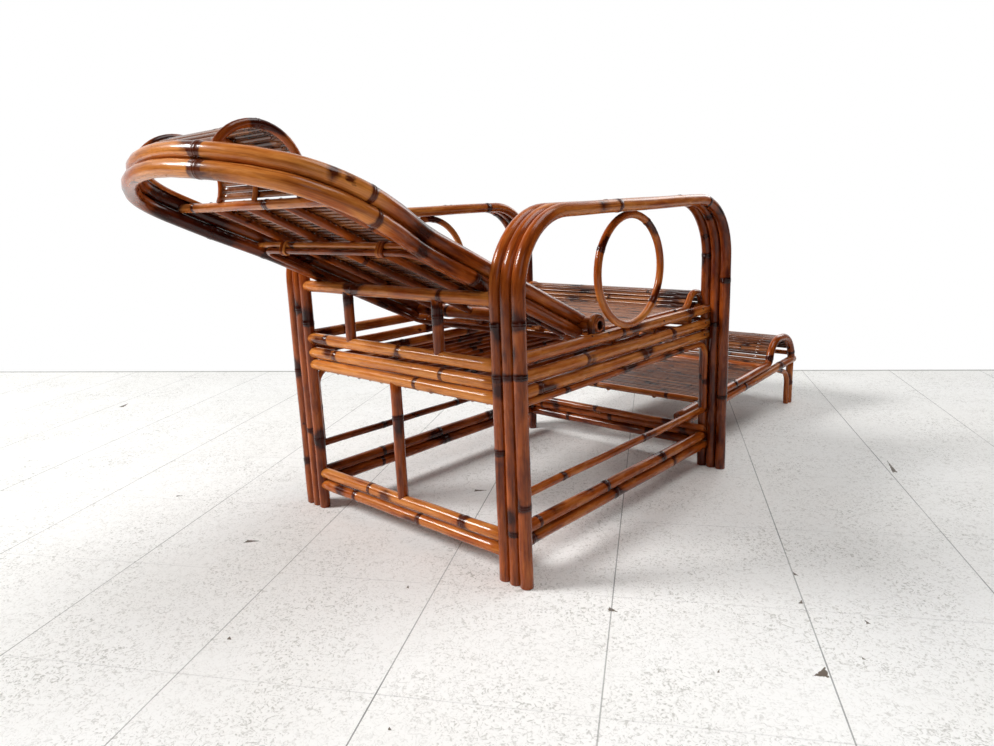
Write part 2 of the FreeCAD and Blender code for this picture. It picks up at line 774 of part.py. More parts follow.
def footrest_frame():
    """Lower rails, bent side poles, legs and their curved braces."""
    runner = (V(-foot_runner_end, foot_runner_y, foot_runner_z),
              V(foot_runner_end, foot_runner_y, foot_runner_z), foot_runner)
    rail = coped(cylinder(*foot_rail_line(foot_rail_spread)), runner)
    pieces = both_sides("footrest_rail_{}", rail)
    corners, radii = foot_side_line()
    side = swept(bent_wire(side_plane(foot_rail_spread), corners, radii), foot_side_pole)
    side = coped(side, foot_rail_line(foot_rail_spread))
    pieces.update(both_sides("footrest_side_pole_{}", side))
    leg_x = foot_rail_spread - foot_leg_inset
    legs = []
    braces = []
    brace_y = foot_leg_y - foot_leg / 2 - nailed_gap - foot_brace / 2
    bend = [(foot_brace_top_y, foot_rail_z(foot_brace_top_y)), (brace_y, foot_brace_shoulder_height), (brace_y, 0)]
    for x, rail_x in ((-leg_x, -foot_rail_spread), (leg_x, foot_rail_spread)):
        leg = cylinder(V(x, foot_leg_y, 0), V(x, foot_leg_y, foot_rail_z(foot_leg_y)), foot_leg)
        legs.append(coped(leg, foot_rail_line(rail_x)))
        brace = swept(bent_wire(side_plane(x), bend, [foot_brace_radius]), foot_brace)
        braces.append(coped(brace, foot_rail_line(rail_x)))
    pieces["footrest_legs"] = Part.makeCompound(legs)
    pieces["footrest_braces"] = Part.makeCompound(braces)
    return pieces


def footrest_deck():
    """The runner bar, the crossbars, the battens and the slats over deck and scroll."""
    runner = crosswise(foot_runner_end, foot_runner_y, foot_runner_z, foot_runner)
    rise = slat_rise
    deck_bar = foot_cross(foot_deck_rear_y, foot_side_z(foot_deck_rear_y), foot_deck_bar,
                          foot_rail_spread, foot_side_pole)
    front_bar = crosswise(foot_rail_spread - foot_side_pole / 2 - nailed_gap, foot_front_y,
                          foot_front_bar_height, foot_deck_bar)
    batten_drop = slat_middle - rise + nailed_gap + foot_batten / 2
    bearer_drop = batten_drop + foot_batten / 2 + nailed_gap + foot_bearer / 2
    bearers = []
    for y in (foot_bearer_rear_y, foot_bearer_front_y):
        bar = foot_cross(y, foot_side_z(y) - bearer_drop / math.cos(foot_slope), foot_bearer,
                         foot_rail_spread, foot_rail)
        bearers.append(coped(bar, foot_rail_line(foot_rail_spread), foot_rail_line(-foot_rail_spread)))
    base_y = foot_rise_y - foot_bend_radius - foot_base_pole / 2
    base = foot_cross(base_y, foot_side_z(base_y), foot_base_pole, foot_rail_spread, foot_side_pole)
    deck_line = (V(-foot_rail_spread, foot_deck_rear_y, foot_side_z(foot_deck_rear_y)),
                 V(foot_rail_spread, foot_deck_rear_y, foot_side_z(foot_deck_rear_y)), foot_deck_bar)
    base_line = (V(-foot_rail_spread, base_y, foot_side_z(base_y)),
                 V(foot_rail_spread, base_y, foot_side_z(base_y)), foot_base_pole)
    battens = []
    for x in (-foot_batten_spread, foot_batten_spread):
        ends = [V(x, y, foot_side_z(y) - batten_drop) for y in (foot_deck_rear_y, base_y)]
        battens.append(coped(cylinder(ends[0], ends[1], foot_batten), deck_line, base_line))
    corners, radii = foot_side_line()
    wire = bent_wire(side_plane(0), *moved_corners(corners, radii, rise))
    half = foot_rail_spread - foot_side_pole / 2 - nailed_gap
    clear = slat_width / 2 + nailed_gap
    slope = math.cos(foot_slope)
    first = (foot_deck_rear_y + foot_deck_bar / 2 - foot_side_rear_y) / slope + clear
    stop = (base_y - foot_base_pole / 2 - foot_side_rear_y) / slope - clear
    slats = slats_along(wire, first, foot_pitch, stop, half)
    again = (base_y + foot_base_pole / 2 - foot_side_rear_y) / slope + clear
    front_bar_top = foot_front_bar_height + foot_deck_bar / 2
    last = wire.Length - (front_bar_top - corners[-1][1]) - slat_width
    slats += slats_along(wire, again, foot_pitch, last, half)
    return {
        "footrest_crossbars": Part.makeCompound([runner, deck_bar, front_bar, base] + bearers),
        "footrest_battens": Part.makeCompound(battens),
        "footrest_slats": Part.makeCompound(slats),
    }


def middle_y():
    """Half way between the head end of the back and the front of the footrest's legs."""
    rear = back_point(0, hoop_end, -hoop_above).y - hoop_pole / 2
    front = foot_leg_y + foot_leg / 2 + foot_rail / 2 * math.sin(foot_slope)
    return (rear + front) / 2


def main():
    """Writes each piece to its own file, with the origin under the middle of the chair."""
    os.makedirs("parts", exist_ok=True)
    pieces = {}
    for group in (arm_loops, arm_rings, side_frames, rear_frame, front_frame, seat, seat_deck, pivot_straps,
                  back_frame, back_panel, headrest, prop, footrest_frame, footrest_deck):
        pieces.update(group())
    shift = middle_y()
    for name, shape in sorted(pieces.items()):
        shape.translate(V(0, -shift, 0))
        shape.exportStep("parts/" + name + ".step")
    print(len(pieces), "pieces; the rear post axis lies at y =", round(-shift, 3))
    hinge = back_point(0, prop_along, prop_above)
    print("back pivot y, z:", round(pivot_y - shift, 3), round(pivot_z, 3))
    print("prop hinge y, z:", round(hinge.y - shift, 3), round(hinge.z, 3))


main()
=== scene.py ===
# %% [markdown]
# A cane lounge chair that reclines
#
# The real chair is bent from stout rattan poles and floored with split cane. The poles are nailed to
# each other, steamed round the corners, singed with a flame and varnished. Its shape comes from a
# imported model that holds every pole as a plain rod. This lesson gives each rod what a rod lacks: the
# paired rings where leaves once grew, the singed patches, the grain, the gloss and the nails.

# %% Load the plain rods
import json
import math
import random

import bpy
from mathutils import Matrix, Vector


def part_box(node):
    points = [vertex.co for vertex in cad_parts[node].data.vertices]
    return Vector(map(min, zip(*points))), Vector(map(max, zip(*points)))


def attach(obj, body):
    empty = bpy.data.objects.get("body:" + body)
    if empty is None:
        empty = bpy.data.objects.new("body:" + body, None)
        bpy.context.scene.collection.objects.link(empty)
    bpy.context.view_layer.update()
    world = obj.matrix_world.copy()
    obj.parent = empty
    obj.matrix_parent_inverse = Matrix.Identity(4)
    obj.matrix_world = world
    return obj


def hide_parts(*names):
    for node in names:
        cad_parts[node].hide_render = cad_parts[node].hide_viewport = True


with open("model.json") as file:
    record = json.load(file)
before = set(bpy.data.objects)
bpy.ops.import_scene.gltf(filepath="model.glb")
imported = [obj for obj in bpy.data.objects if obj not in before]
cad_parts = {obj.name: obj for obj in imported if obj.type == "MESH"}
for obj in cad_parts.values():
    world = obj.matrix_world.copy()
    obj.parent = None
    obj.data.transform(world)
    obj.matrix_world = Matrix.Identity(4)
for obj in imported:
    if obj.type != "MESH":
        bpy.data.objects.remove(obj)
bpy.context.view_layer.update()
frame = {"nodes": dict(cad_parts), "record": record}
body_of_node = {}
for body, members in frame["record"]["behaviour"]["bodies"].items():
    for member in members:
        body_of_node[member] = body

# %% [markdown]
# Where things are
#
# The rods were set out in millimetres from the rear arm poles' feet, with X towards the sitter's
# right, Y towards the footrest and Z up. The same numbers are easiest to read here, so one function
# turns them into Blender's metres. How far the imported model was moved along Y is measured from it.

# %% Turn millimetres from the rear feet into places in the scene
MM = 0.001
arm_pole = 23.8
rear_feet_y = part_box("arm_loop_right_outer")[0].y / MM + arm_pole / 2


def place(x, y, z):
    """A point of the scene from millimetres measured at the rear feet."""
    return Vector((x, y + rear_feet_y, z)) * MM


print("the rear feet stand at y =", round(rear_feet_y, 2), "mm")

# %% [markdown]
# The viewpoint
#
# The camera stands low behind the sitter's right shoulder. Its place, turn and lens were worked out
# from the edges of the chair in the photograph. A constraint could aim it, but not roll it as well. A
# camera looks along its own -Z, so its turn is built from the three directions that it should have.

# %% Set up the camera
camera_spot = (1086.9, -893.7, 649.8)
camera_yaw, camera_pitch, camera_roll = (math.radians(a) for a in (42.447, 12.693, -2.181))
camera_lens = 26.81
camera_near = 0.05

look = Vector((-math.sin(camera_yaw) * math.cos(camera_pitch),
               math.cos(camera_yaw) * math.cos(camera_pitch), -math.sin(camera_pitch)))
level = Vector((math.cos(camera_yaw), math.sin(camera_yaw), 0))
upright = level.cross(look)
camera_right = level * math.cos(camera_roll) + upright * math.sin(camera_roll)
camera_up = upright * math.cos(camera_roll) - level * math.sin(camera_roll)

camera = bpy.data.objects.new("camera", bpy.data.cameras.new("camera"))
bpy.context.scene.collection.objects.link(camera)
camera.data.lens = camera_lens
camera.data.clip_start = camera_near
camera.matrix_world = Matrix.Translation(place(*camera_spot)) @ Matrix(
    (camera_right, camera_up, -look)).transposed().to_4x4()
bpy.context.scene.camera = camera
print("camera at", tuple(round(v, 3) for v in camera.location))

# %% [markdown]
# Following a bent pole
#
# A steamed pole is straight runs and round bends, all in one plane. Blender's curves could draw that,
# but rings must sit at chosen distances along the pole and the singeing must follow them. So the
# centre line is kept as runs and bends, and can be read at any distance.

# %% Describe a centre line
flat_normal = 1e-9


class Route:
    """The centre line of a pole on a plane, made of straight runs and bends."""

    def __init__(self, plane, start, heading):
        self.plane = plane
        self.spot = Vector((start[0], start[1], 0))
        self.heading = math.radians(heading)
        self.parts = []
        self.length = 0.0
        self.closed = False

    def run(self, length):
        """Goes straight on."""
        self.parts.append((self.length, length, self.spot.copy(), self.heading, 0.0))
        self.spot += Vector((math.cos(self.heading), math.sin(self.heading), 0)) * length
        self.length += length
        return self

    def bend(self, radius, degrees):
        """Bends to the left, or to the right where the angle is negative."""
        turn = math.radians(degrees)
        length = radius * abs(turn)
        self.parts.append((self.length, length, self.spot.copy(), self.heading, turn / length))
        self.spot = self.on_part(self.parts[-1], length)[0]
        self.heading += turn
        self.length += length
        return self

    @staticmethod
    def on_part(part, distance):
        """The point and the heading at a distance along one run or bend."""
        start, length, spot, heading, curl = part
        if curl == 0:
            return spot + Vector((math.cos(heading), math.sin(heading), 0)) * distance, heading
        radius = 1 / curl
        later = heading + curl * distance
        shift = Vector((math.sin(later) - math.sin(heading), math.cos(heading) - math.cos(later), 0))
        return spot + shift * radius, later

    def at(self, distance):
        """The scene point and the direction there, as metres and a unit vector."""
        for part in self.parts:
            if distance <= part[0] + part[1]:
                break
        spot, heading = self.on_part(part, distance - part[0])
        ahead = spot + Vector((math.cos(heading), math.sin(heading), 0))
        point = self.plane(spot.x, spot.y)
        return point, (self.plane(ahead.x, ahead.y) - point).normalized()

    def stations(self, straight_step, bend_step):
        """Distances at which a tube needs a ring to look straight and round."""
        found = []
        for start, length, spot, heading, curl in self.parts:
            count = max(1, math.ceil(length / straight_step))
            if curl:
                count = max(2, math.ceil(abs(curl) * length / math.radians(bend_step)))
            found += [start + length * i / count for i in range(count)]
        return found + [self.length]

    def sideways(self):
        """The plane's own normal, or any direction square to a straight route."""
        origin = self.plane(0, 0)
        normal = (self.plane(1, 0) - origin).cross(self.plane(0, 1) - origin)
        if normal.length < flat_normal:
            normal = self.at(0)[1].orthogonal()
        return normal.normalized()


print("a route knows its point, its direction and its sideways at any distance")

# %% [markdown]
# Round the corners
#
# A maker bends a pole to corners and a radius, so most routes are given in that way: the points where
# the straight runs would meet, and a radius for each. A curve with bevelled corners would do the
# same on the screen. Here each corner becomes an exact arc, so that two poles bent side by side
# keep their gap all the way round.

# %% Lay a route through corners
shortest_run = 0.1


def route_through(plane, corners, radii, closed=False):
    """A route through corner points, rounded off with one radius at each corner."""
    flat = [Vector((a, b, 0)) for a, b in corners]
    if closed:
        middle = (flat[-1] + flat[0]) / 2
        flat = [middle] + flat + [middle]
    first = flat[1] - flat[0]
    route = Route(plane, flat[0][:2], math.degrees(math.atan2(first.y, first.x)))
    done = 0.0
    for before, corner, after, radius in zip(flat, flat[1:], flat[2:], radii):
        turn = (after - corner).to_2d().angle_signed((corner - before).to_2d())
        tangent = radius * math.tan(abs(turn) / 2)
        free = (corner - before).length - done - tangent
        if free > shortest_run:
            route.run(free)
        route.bend(radius, math.degrees(turn))
        done = tangent
    route.run((flat[-1] - flat[-2]).length - done)
    route.closed = closed
    return route


def side_plane(x):
    """An upright plane along the chair: distance forward, then height."""
    return lambda forward, height: place(x, forward, height)


def straight(start, end):
    """A straight route between two points given in millimetres from the rear feet."""
    start, end = Vector(start), Vector(end)
    run = (end - start).normalized()
    route = Route(lambda along, beside: place(*(start + run * along)), (0, 0), 0)
    return route.run((end - start).length)


print("a quarter bend of 100 mm is", round(Route(side_plane(0), (0, 0), 0).bend(100, 90).length), "mm long")

# %% [markdown]
# Growing a pole
#
# Rattan keeps a joint where each leaf sheath grew: two fine raised rings, with dark cracks between and
# beside them. Flame darkens the pole there, in blotches that fade along it. A bevelled curve would
# give the round pole and a painted image its marks, but the two would have to be kept in step by hand.
# So every piece is gathered as a mesh that carries both. The rings are real bumps. The singeing is a
# number on each point, which the varnish reads later, and so is the tone, from 0 for dark to 1 for bare
# honey; it is mostly stain, and on a few pieces it also holds painted shade and painted light. The grain
# says where a point lies in the pole's own thickness and length, so that fibres run along every bend.

# %% Note each piece's own shade
usual_shade = 0.45
shade_spread = 0.16
# Some shades are painted light and shade rather than stain. The left side's lower rail and stretchers, the
# slim poles under the seat and the prop under the back are darkened as painted shade. The rear rails are
# paler as painted light where the window lamp falls on them.
stain_and_painted_light = {
    "arm_ring": 0.6, "arch_brace": 0.35,
    "seat_rail_right_top": 0.62, "seat_rail_right_second": 0.75, "seat_rail_right_third": 0.6,
    "lower_rail_right": 0.55, "side_stretchers_right": 0.55,
    "lower_rail_left": 0.1, "side_stretchers_left": 0.05,
    "rear_top_rail": 0.75, "rear_seat_rails": 0.78, "rear_stretchers": 0.58,
    "rear_spindles": 0.35, "rear_post": 0.4,
    "front_seat_rails": 0.3, "front_stretchers": 0.2,
    "seat_slats": 0.85, "seat_deck_poles": 0.1, "pivot_strap": 0.1,
    "back_battens": 0.25, "back_crossbar_upper": 0.8, "back_crossbar_lower": 0.75,
    "headrest_arch": 0.3, "prop_hoop": 0.1, "footrest_rail": 0.4, "footrest_slats": 0.42}
bearing_pieces = ("pivot_bar", "prop_hoop", "seat_rail_right_top", "seat_rail_left_top", "rear_seat_rails",
                  "rear_spindles", "back_crossbar_lower")
print(len(stain_and_painted_light), "kinds of piece have a shade of their own")

# %% [markdown]
# One piece as a mesh
#
# A piece of the chair may be one pole, a pair of rails or a whole floor of slats, but Blender gets it as
# one object. It could be joined from many objects at the end. Here a stock gathers the points and
# faces of one piece as they are drawn, and hands them over in one go, which is quick and keeps the
# numbers on the points in step. Its chance starts from the piece's name, so every run gives the same.

# %% Gather the mesh of one piece
grain_spread = 9


class Stock:
    """Cane for one piece: its points and faces, with grain, singeing and tone on each point."""

    def __init__(self, name):
        self.name = name
        self.chance = random.Random(name)
        self.shade = next((shade for start, shade in stain_and_painted_light.items() if name.startswith(start)), usual_shade)
        self.bears = name.startswith(bearing_pieces)
        self.points = []
        self.faces = []
        self.grain = []
        self.singe = []
        self.tone = []

    def any_tone(self, spread=shade_spread):
        """A tone near this piece's own shade."""
        return min(1.0, max(0.0, self.shade + self.chance.uniform(-spread, spread)))

    def any_grain(self):
        """A place in the grain where a pole or slat begins, so that no two look alike."""
        return Vector([self.chance.uniform(0, grain_spread) for _ in range(3)])

    def loop(self, points, grains, singes, tone):
        """Adds one ring of points and returns where it starts."""
        start = len(self.points)
        self.points += points
        self.grain += grains
        self.singe += singes
        self.tone += [tone] * len(points)
        return start

    def skin(self, before, after, count):
        """Joins two rings of points with faces."""
        for i in range(count):
            j = (i + 1) % count
            self.faces.append((before + i, before + j, after + j, after + i))

    def lid(self, start, count, flip):
        """Closes an end ring."""
        ring = [start + i for i in range(count)]
        self.faces.append(tuple(ring if flip else reversed(ring)))

    def sweep(self, rings, closed=False, lids=True):
        """Skins rings, each given as loop takes it, and returns where each one starts."""
        count = len(rings[0][0])
        starts = [self.loop(*ring) for ring in rings]
        for before, after in zip(starts, starts[1:]):
            self.skin(before, after, count)
        if closed:
            self.skin(starts[-1], starts[0], count)
        elif lids:
            self.lid(starts[0], count, True)
            self.lid(starts[-1], count, False)
        return starts

    def object(self):
        """Hands the mesh to Blender, with its attributes."""
        mesh = bpy.data.meshes.new(self.name)
        mesh.from_pydata([p[:] for p in self.points], [], self.faces)
        mesh.attributes.new("grain", "FLOAT_VECTOR", "POINT")
        mesh.attributes["grain"].data.foreach_set("vector", [v for g in self.grain for v in g])
        for name, values in (("singe", self.singe), ("tone", self.tone)):
            mesh.attributes.new(name, "FLOAT", "POINT")
            mesh.attributes[name].data.foreach_set("value", values)
        mesh.shade_smooth()
        mesh.update()
        made = bpy.data.objects.new(self.name, mesh)
        bpy.context.scene.collection.objects.link(made)
        return made


print("a stock holds points, faces, grain, singeing and tone")

# %% [markdown]
# Where a pole needs points
#
# A joint stands out by less than a millimetre, as two fine ridges with a groove between them. Evenly
# spaced rings of points would blur it, or else make the mesh heavy, and a bump in the material
# wouldn't show on the pole's outline. So the rings of points lie far apart on straight runs, closer in
# bends, and about a millimetre apart at a joint.

# %% Space the rings of points along a pole
ring_gap = 3.4
ring_width = 1.5
ring_height = 0.75
groove_share = 0.5
bulge_share = 0.35
joint_reach = 9.0
joint_spacing = 235.0
joint_spacing_shares = (0.8, 1.2)
first_joint_shares = (0.15, 0.8)
joint_offsets = (-14.0, -9.0, -5.0, -3.3, -2.4, -1.7, -0.9, 0.0, 0.9, 1.7, 2.4, 3.3, 5.0, 9.0, 14.0)
straight_step = 32
bend_step = 7
end_round = 1.2


def ring_swell(away):
    """How far a pole stands out at a distance from the middle of a joint."""
    pair = sum(math.exp(-((away - side) / ring_width) ** 2) for side in (-ring_gap / 2, ring_gap / 2))
    groove = groove_share * math.exp(-(away / ring_width) ** 2)
    bulge = bulge_share * math.exp(-(away / joint_reach) ** 2)
    return ring_height * (pair - groove + bulge)


def swell_at(joints, distance, reach=30):
    """How far a pole or slat stands out at a distance along it."""
    return sum(ring_swell(distance - joint) for joint in joints if abs(distance - joint) < reach)


def scattered_joints(chance, length):
    """Joints at a natural spacing along a pole."""
    found = []
    spot = chance.uniform(*first_joint_shares) * joint_spacing
    while spot < length - joint_reach:
        found.append(spot)
        spot += joint_spacing * chance.uniform(*joint_spacing_shares)
    return found


def pole_distances(route, joints):
    """The distances along a route at which a pole gets a ring of points."""
    distances = set(route.stations(straight_step, bend_step))
    for joint in joints:
        near = [joint + offset for offset in joint_offsets]
        distances -= {d for d in distances if near[0] < d < near[-1]}
        distances |= {d for d in near if 0 < d < route.length}
    distances = sorted(distances)
    if route.closed:
        return distances[:-1]
    eased = min(end_round, route.length / 4)
    distances.insert(1, eased)
    distances.insert(-1, route.length - eased)
    return distances


print("a joint stands out by", round(ring_swell(ring_gap / 2), 2), "mm at its rings")

# %% [markdown]
# Where flame marks a pole
#
# The maker passes a flame over each joint. It leaves a blotch on one side, a stray one some way off,
# and black in the cracks. The longest marks were made on purpose and are given as scorches. A painted
# image would have to be redrawn for each pole. Here a mark is a distance, a strength, a reach, and how
# far it leans to which side, and every point of the mesh adds up what it gets.

# %% Place the flame's marks
joint_singe, joint_singe_reach, joint_singe_lean = (0.4, 1.1), (7, 22), 0.6
stray_singe, stray_singe_reach, stray_singe_lean = 0.8, (10, 30), 0.95
stray_shift = 60
crack_singe, crack_reach = 0.95, 1.1
scorch_singe, scorch_lean = 1.1, 0.25
faded_out = 2.5


def pole_burns(chance, joints, scorches):
    """The flame's marks on a pole, as (distance, strength, reach, lean, side)."""
    burns = [(joint, chance.uniform(*joint_singe), chance.uniform(*joint_singe_reach), joint_singe_lean)
             for joint in joints]
    burns += [(joint + chance.uniform(-stray_shift, stray_shift), stray_singe,
               chance.uniform(*stray_singe_reach), stray_singe_lean) for joint in joints]
    for joint in joints:
        burns += [(joint + aside, crack_singe, crack_reach, 0.0) for aside in (-ring_gap, 0.0, ring_gap)]
    burns += [(spot, scorch_singe, reach, scorch_lean) for spot, reach in scorches]
    return [(*burn, chance.uniform(0, math.tau)) for burn in burns]


def burns_near(burns, distance):
    """The marks that reach a distance, as (strength there, lean, side)."""
    return [(strength * math.exp(-((distance - spot) / reach) ** 2), lean, facing)
            for spot, strength, reach, lean, facing in burns if abs(distance - spot) < faded_out * reach]


def singe_on_side(near, turn):
    """How burnt a pole is on one side, from the marks near that place."""
    burnt = sum(strength * (1 - lean * (0.5 - 0.5 * math.cos(turn - facing)))
                for strength, lean, facing in near)
    return min(1.0, burnt)


def between_stops(stops, distance):
    """Reads a value at a distance from (distance, value) stops."""
    for (near, low), (far, high) in zip(stops, stops[1:]):
        if distance <= far:
            share = max(0.0, distance - near) / (far - near)
            return low + (high - low) * share
    return stops[-1][1]


print("a crack is black for", crack_reach, "mm to each side")

# %% [markdown]
# The hollow in a pole's end
#
# The end of a stout pole shows a sunken hollow, darker inside than at its rim. A boolean could drill it,
# and would leave ragged faces. It takes no more than three smaller rings of points, each one deeper, with
# a lid on the last.

# %% Hollow an end
hollow_rings = ((0.7, 0.0, 0.5), (0.66, 2.0, 1.0), (0.6, 7.0, 1.0))
hollow_tone = 0.2


def sink_end(stock, start, sides, end, flip):
    """Closes a pole's end with a hollow that is darker inside, in place of a flat cut."""
    middle, direction = end
    inward = direction if flip else -direction
    last = start
    for share, depth, singe in hollow_rings:
        ring = [middle + (stock.points[start + i] - middle) * share + inward * (depth * MM)
                for i in range(sides)]
        begun = stock.loop(ring, stock.grain[start:start + sides], [singe] * sides, hollow_tone)
        stock.skin(*((begun, last) if flip else (last, begun)), sides)
        last = begun
    stock.lid(last, sides, flip)


print("the hollow goes", hollow_rings[-1][1], "mm deep")

# %% [markdown]
# From a centre line to a pole
#
# Each ring of points is set square to the centre line. The plane's own normal gives a steady
# sideways direction, so nothing twists in the bends. Natural cane is never quite straight or quite
# round, so the line wanders by a fraction of a millimetre. A pole that turns or bears on another one
# stays straight and has lower rings, so that it clears what it moves past.

# %% Draw a pole along a route
pole_sides = 18
slim_sides = 12
slim_pole = 12
fully_ringed_pole = 20
bearing_relief = 0.45
wander = 0.35
wander_wave = 190.0
side_wave_share = 0.73


def grow_pole(stock, route, diameter, joints=None, scorches=(), tones=None, hollow=False):
    """Adds a round pole; scorches are (distance, reach) pairs, tones are (distance, tone) stops."""
    chance = stock.chance
    if joints is None:
        joints = scattered_joints(chance, route.length)
    burns = pole_burns(chance, joints, scorches)
    sides = slim_sides if diameter < slim_pole else pole_sides
    radius = diameter / 2
    relief = min(1.0, diameter / fully_ringed_pole) * (bearing_relief if stock.bears else 1.0)
    distances = pole_distances(route, joints)
    tone = stock.any_tone()
    offset = stock.any_grain()
    phases = [chance.uniform(0, math.tau) for _ in range(2)]
    sway = 0.0 if route.closed or stock.bears else wander * MM
    normal = route.sideways()
    rings = []
    for index, distance in enumerate(distances):
        point, direction = route.at(distance)
        side = direction.cross(normal)
        wave = math.tau * distance / wander_wave
        drift = normal * math.sin(wave + phases[0]) + side * math.sin(wave * side_wave_share + phases[1])
        point = point + drift * sway
        around = radius + swell_at(joints, distance) * relief
        if not route.closed and index in (0, len(distances) - 1):
            around -= end_round
        near = burns_near(burns, distance)
        points, grains, singes = [], [], []
        for i in range(sides):
            turn = math.tau * i / sides
            across = normal * math.cos(turn) + side * math.sin(turn)
            points.append(point + across * (around * MM))
            grains.append(Vector((math.cos(turn) * radius, math.sin(turn) * radius, distance)) * MM + offset)
            singes.append(singe_on_side(near, turn))
        if tones:
            tone = between_stops(tones, distance)
        rings.append((points, grains, singes, tone))
    starts = stock.sweep(rings, route.closed, not hollow)
    if hollow:
        for index, flip in ((0, True), (-1, False)):
            sink_end(stock, starts[index], sides, route.at(distances[index]), flip)


print("a pole has", pole_sides, "sides, or", slim_sides, "where it is slim")

# %% [markdown]
# Split cane
#
# The seat, back and footrest are floored with split cane: a strip that is flat underneath and
# rounded on top. One strip could be copied with an array modifier, but then all would be alike. Every
# strip here is drawn as its own length of cane with its own tone and joints, and that unevenness is
# what makes the floor look laid by hand.

# %% Draw a slat
slat_width = 10.0
slat_thickness = 4.3
slat_section = ((0.5, 0.0), (0.5, 0.55), (0.4, 0.85), (0.2, 0.98), (0.0, 1.0), (-0.2, 0.98), (-0.4, 0.85),
                (-0.5, 0.55), (-0.5, 0.0), (0.0, 0.0))
slat_steps = 6
slat_joint_counts = (1, 1, 2)
slat_joint_spread = 0.9
slat_tone_spread = 0.4
slat_singe, slat_singe_reach = (0.3, 1.0), (8, 26)
slat_crack_singe, slat_crack_reach = 0.9, 1.5
slat_scorch_singe, slat_scorch_shift, slat_scorch_shares = 1.3, 6, (0.7, 1.2)
slat_width_shares, slat_height_shares = (0.95, 1.03), (0.94, 1.05)
slat_lean = 0.25
slat_ring_share = 0.5


def slat_burns(chance, joints, scorch):
    """The flame's marks on a slat, as (distance, strength, reach)."""
    burns = [(joint, chance.uniform(*slat_singe), chance.uniform(*slat_singe_reach)) for joint in joints]
    burns += [(joint, slat_crack_singe, slat_crack_reach) for joint in joints]
    if scorch:
        spot, reach = scorch
        burns.append((spot + chance.uniform(-slat_scorch_shift, slat_scorch_shift), slat_scorch_singe,
                      reach * chance.uniform(*slat_scorch_shares)))
    return burns


def grow_slat(stock, middle, across, up, half_length, scorch=None):
    """Adds a slat along X, its underside centred on a scene point; a scorch is (x, reach)."""
    chance = stock.chance
    tone = stock.any_tone(slat_tone_spread)
    offset = stock.any_grain()
    count = chance.choice(slat_joint_counts)
    joints = [chance.uniform(-slat_joint_spread, slat_joint_spread) * half_length for _ in range(count)]
    burns = slat_burns(chance, joints, scorch)
    width = slat_width * chance.uniform(*slat_width_shares)
    height = slat_thickness * chance.uniform(*slat_height_shares)
    distances = {half_length * (i / slat_steps) for i in range(-slat_steps, slat_steps + 1)}
    for joint in joints:
        distances |= {joint + o for o in joint_offsets if abs(joint + o) < half_length}
    lean = across * chance.uniform(-slat_lean, slat_lean)
    rings = []
    for distance in sorted(distances):
        swell = swell_at(joints, distance) * slat_ring_share
        burnt = sum(strength * math.exp(-((distance - spot) / reach) ** 2) for spot, strength, reach in burns)
        points, grains = [], []
        for aside, rise in slat_section:
            lift = height * rise + swell * rise
            at = across * (width * aside) + up * lift + lean * (distance / half_length)
            points.append(middle + at * MM + Vector((distance, 0, 0)) * MM)
            grains.append(Vector((width * aside, lift, distance)) * MM + offset)
        rings.append((points, grains, [min(1.0, burnt)] * len(points), tone))
    stock.sweep(rings)


print("a slat is", slat_width, "mm wide and", slat_thickness, "mm thick")

# %% [markdown]
# Nodes for the finishes
#
# A finish is a small tree of nodes, and the cane and the floor need the same few kinds of node again
# and again. They could be set up one by one. Short helpers keep each finish down to lines that can be
# read as a recipe.

# %% Make the helpers that draw noises and ramps
white, black = (1.0, 1.0, 1.0), (0.0, 0.0, 0.0)
noise_roughness = 0.6


def wire(tree, start, end):
    """Links one node's output to another's input."""
    tree.links.new(start, end)


def noise_at(tree, vector, scale, stretch=1.0, detail=3.0):
    """A noise on a vector, stretched along its third axis, which is the cane's length."""
    mapping = tree.nodes.new("ShaderNodeMapping")
    mapping.inputs["Scale"].default_value = (scale, scale, scale / stretch)
    noise = tree.nodes.new("ShaderNodeTexNoise")
    noise.inputs["Scale"].default_value = 1.0
    noise.inputs["Detail"].default_value = detail
    noise.inputs["Roughness"].default_value = noise_roughness
    wire(tree, vector, mapping.inputs["Vector"])
    wire(tree, mapping.outputs["Vector"], noise.inputs["Vector"])
    return noise.outputs["Fac"]


def ramp(tree, factor, *stops):
    """A colour ramp with (place, colour) stops."""
    node = tree.nodes.new("ShaderNodeValToRGB")
    stops_in = node.color_ramp.elements
    while len(stops_in) < len(stops):
        stops_in.new(0.5)
    for element, (where, colour) in zip(stops_in, stops):
        element.position = where
        element.color = (*colour, 1.0)
    wire(tree, factor, node.inputs["Fac"])
    return node.outputs["Color"]


print("noises and ramps are at hand")

# %% [markdown]
# Sums and mixes
#
# Marks are laid over a colour one after another, and their strength is worked out from numbers. A
# long formula could be written as one script node, but not every renderer runs those. Plain math
# and mix nodes do the same everywhere, and the helpers take either a socket or a plain value.

# %% Make the helpers that add, mix and measure


def sums(tree, kind, first, second):
    """A math node on two values, either of which may be a plain number."""
    node = tree.nodes.new("ShaderNodeMath")
    node.operation = kind
    for socket, value in zip(node.inputs, (first, second)):
        if isinstance(value, float):
            socket.default_value = value
        else:
            wire(tree, value, socket)
    return node.outputs["Value"]


def between(tree, factor, first, second, kind="MIX"):
    """Mixes two colours by a factor."""
    node = tree.nodes.new("ShaderNodeMix")
    node.data_type = "RGBA"
    node.blend_type = kind
    if isinstance(factor, float):
        node.inputs["Factor"].default_value = factor
    else:
        wire(tree, factor, node.inputs["Factor"])
    for socket, value in ((node.inputs[6], first), (node.inputs[7], second)):
        if isinstance(value, tuple):
            socket.default_value = (*value, 1.0)
        else:
            wire(tree, value, socket)
    return node.outputs[2]


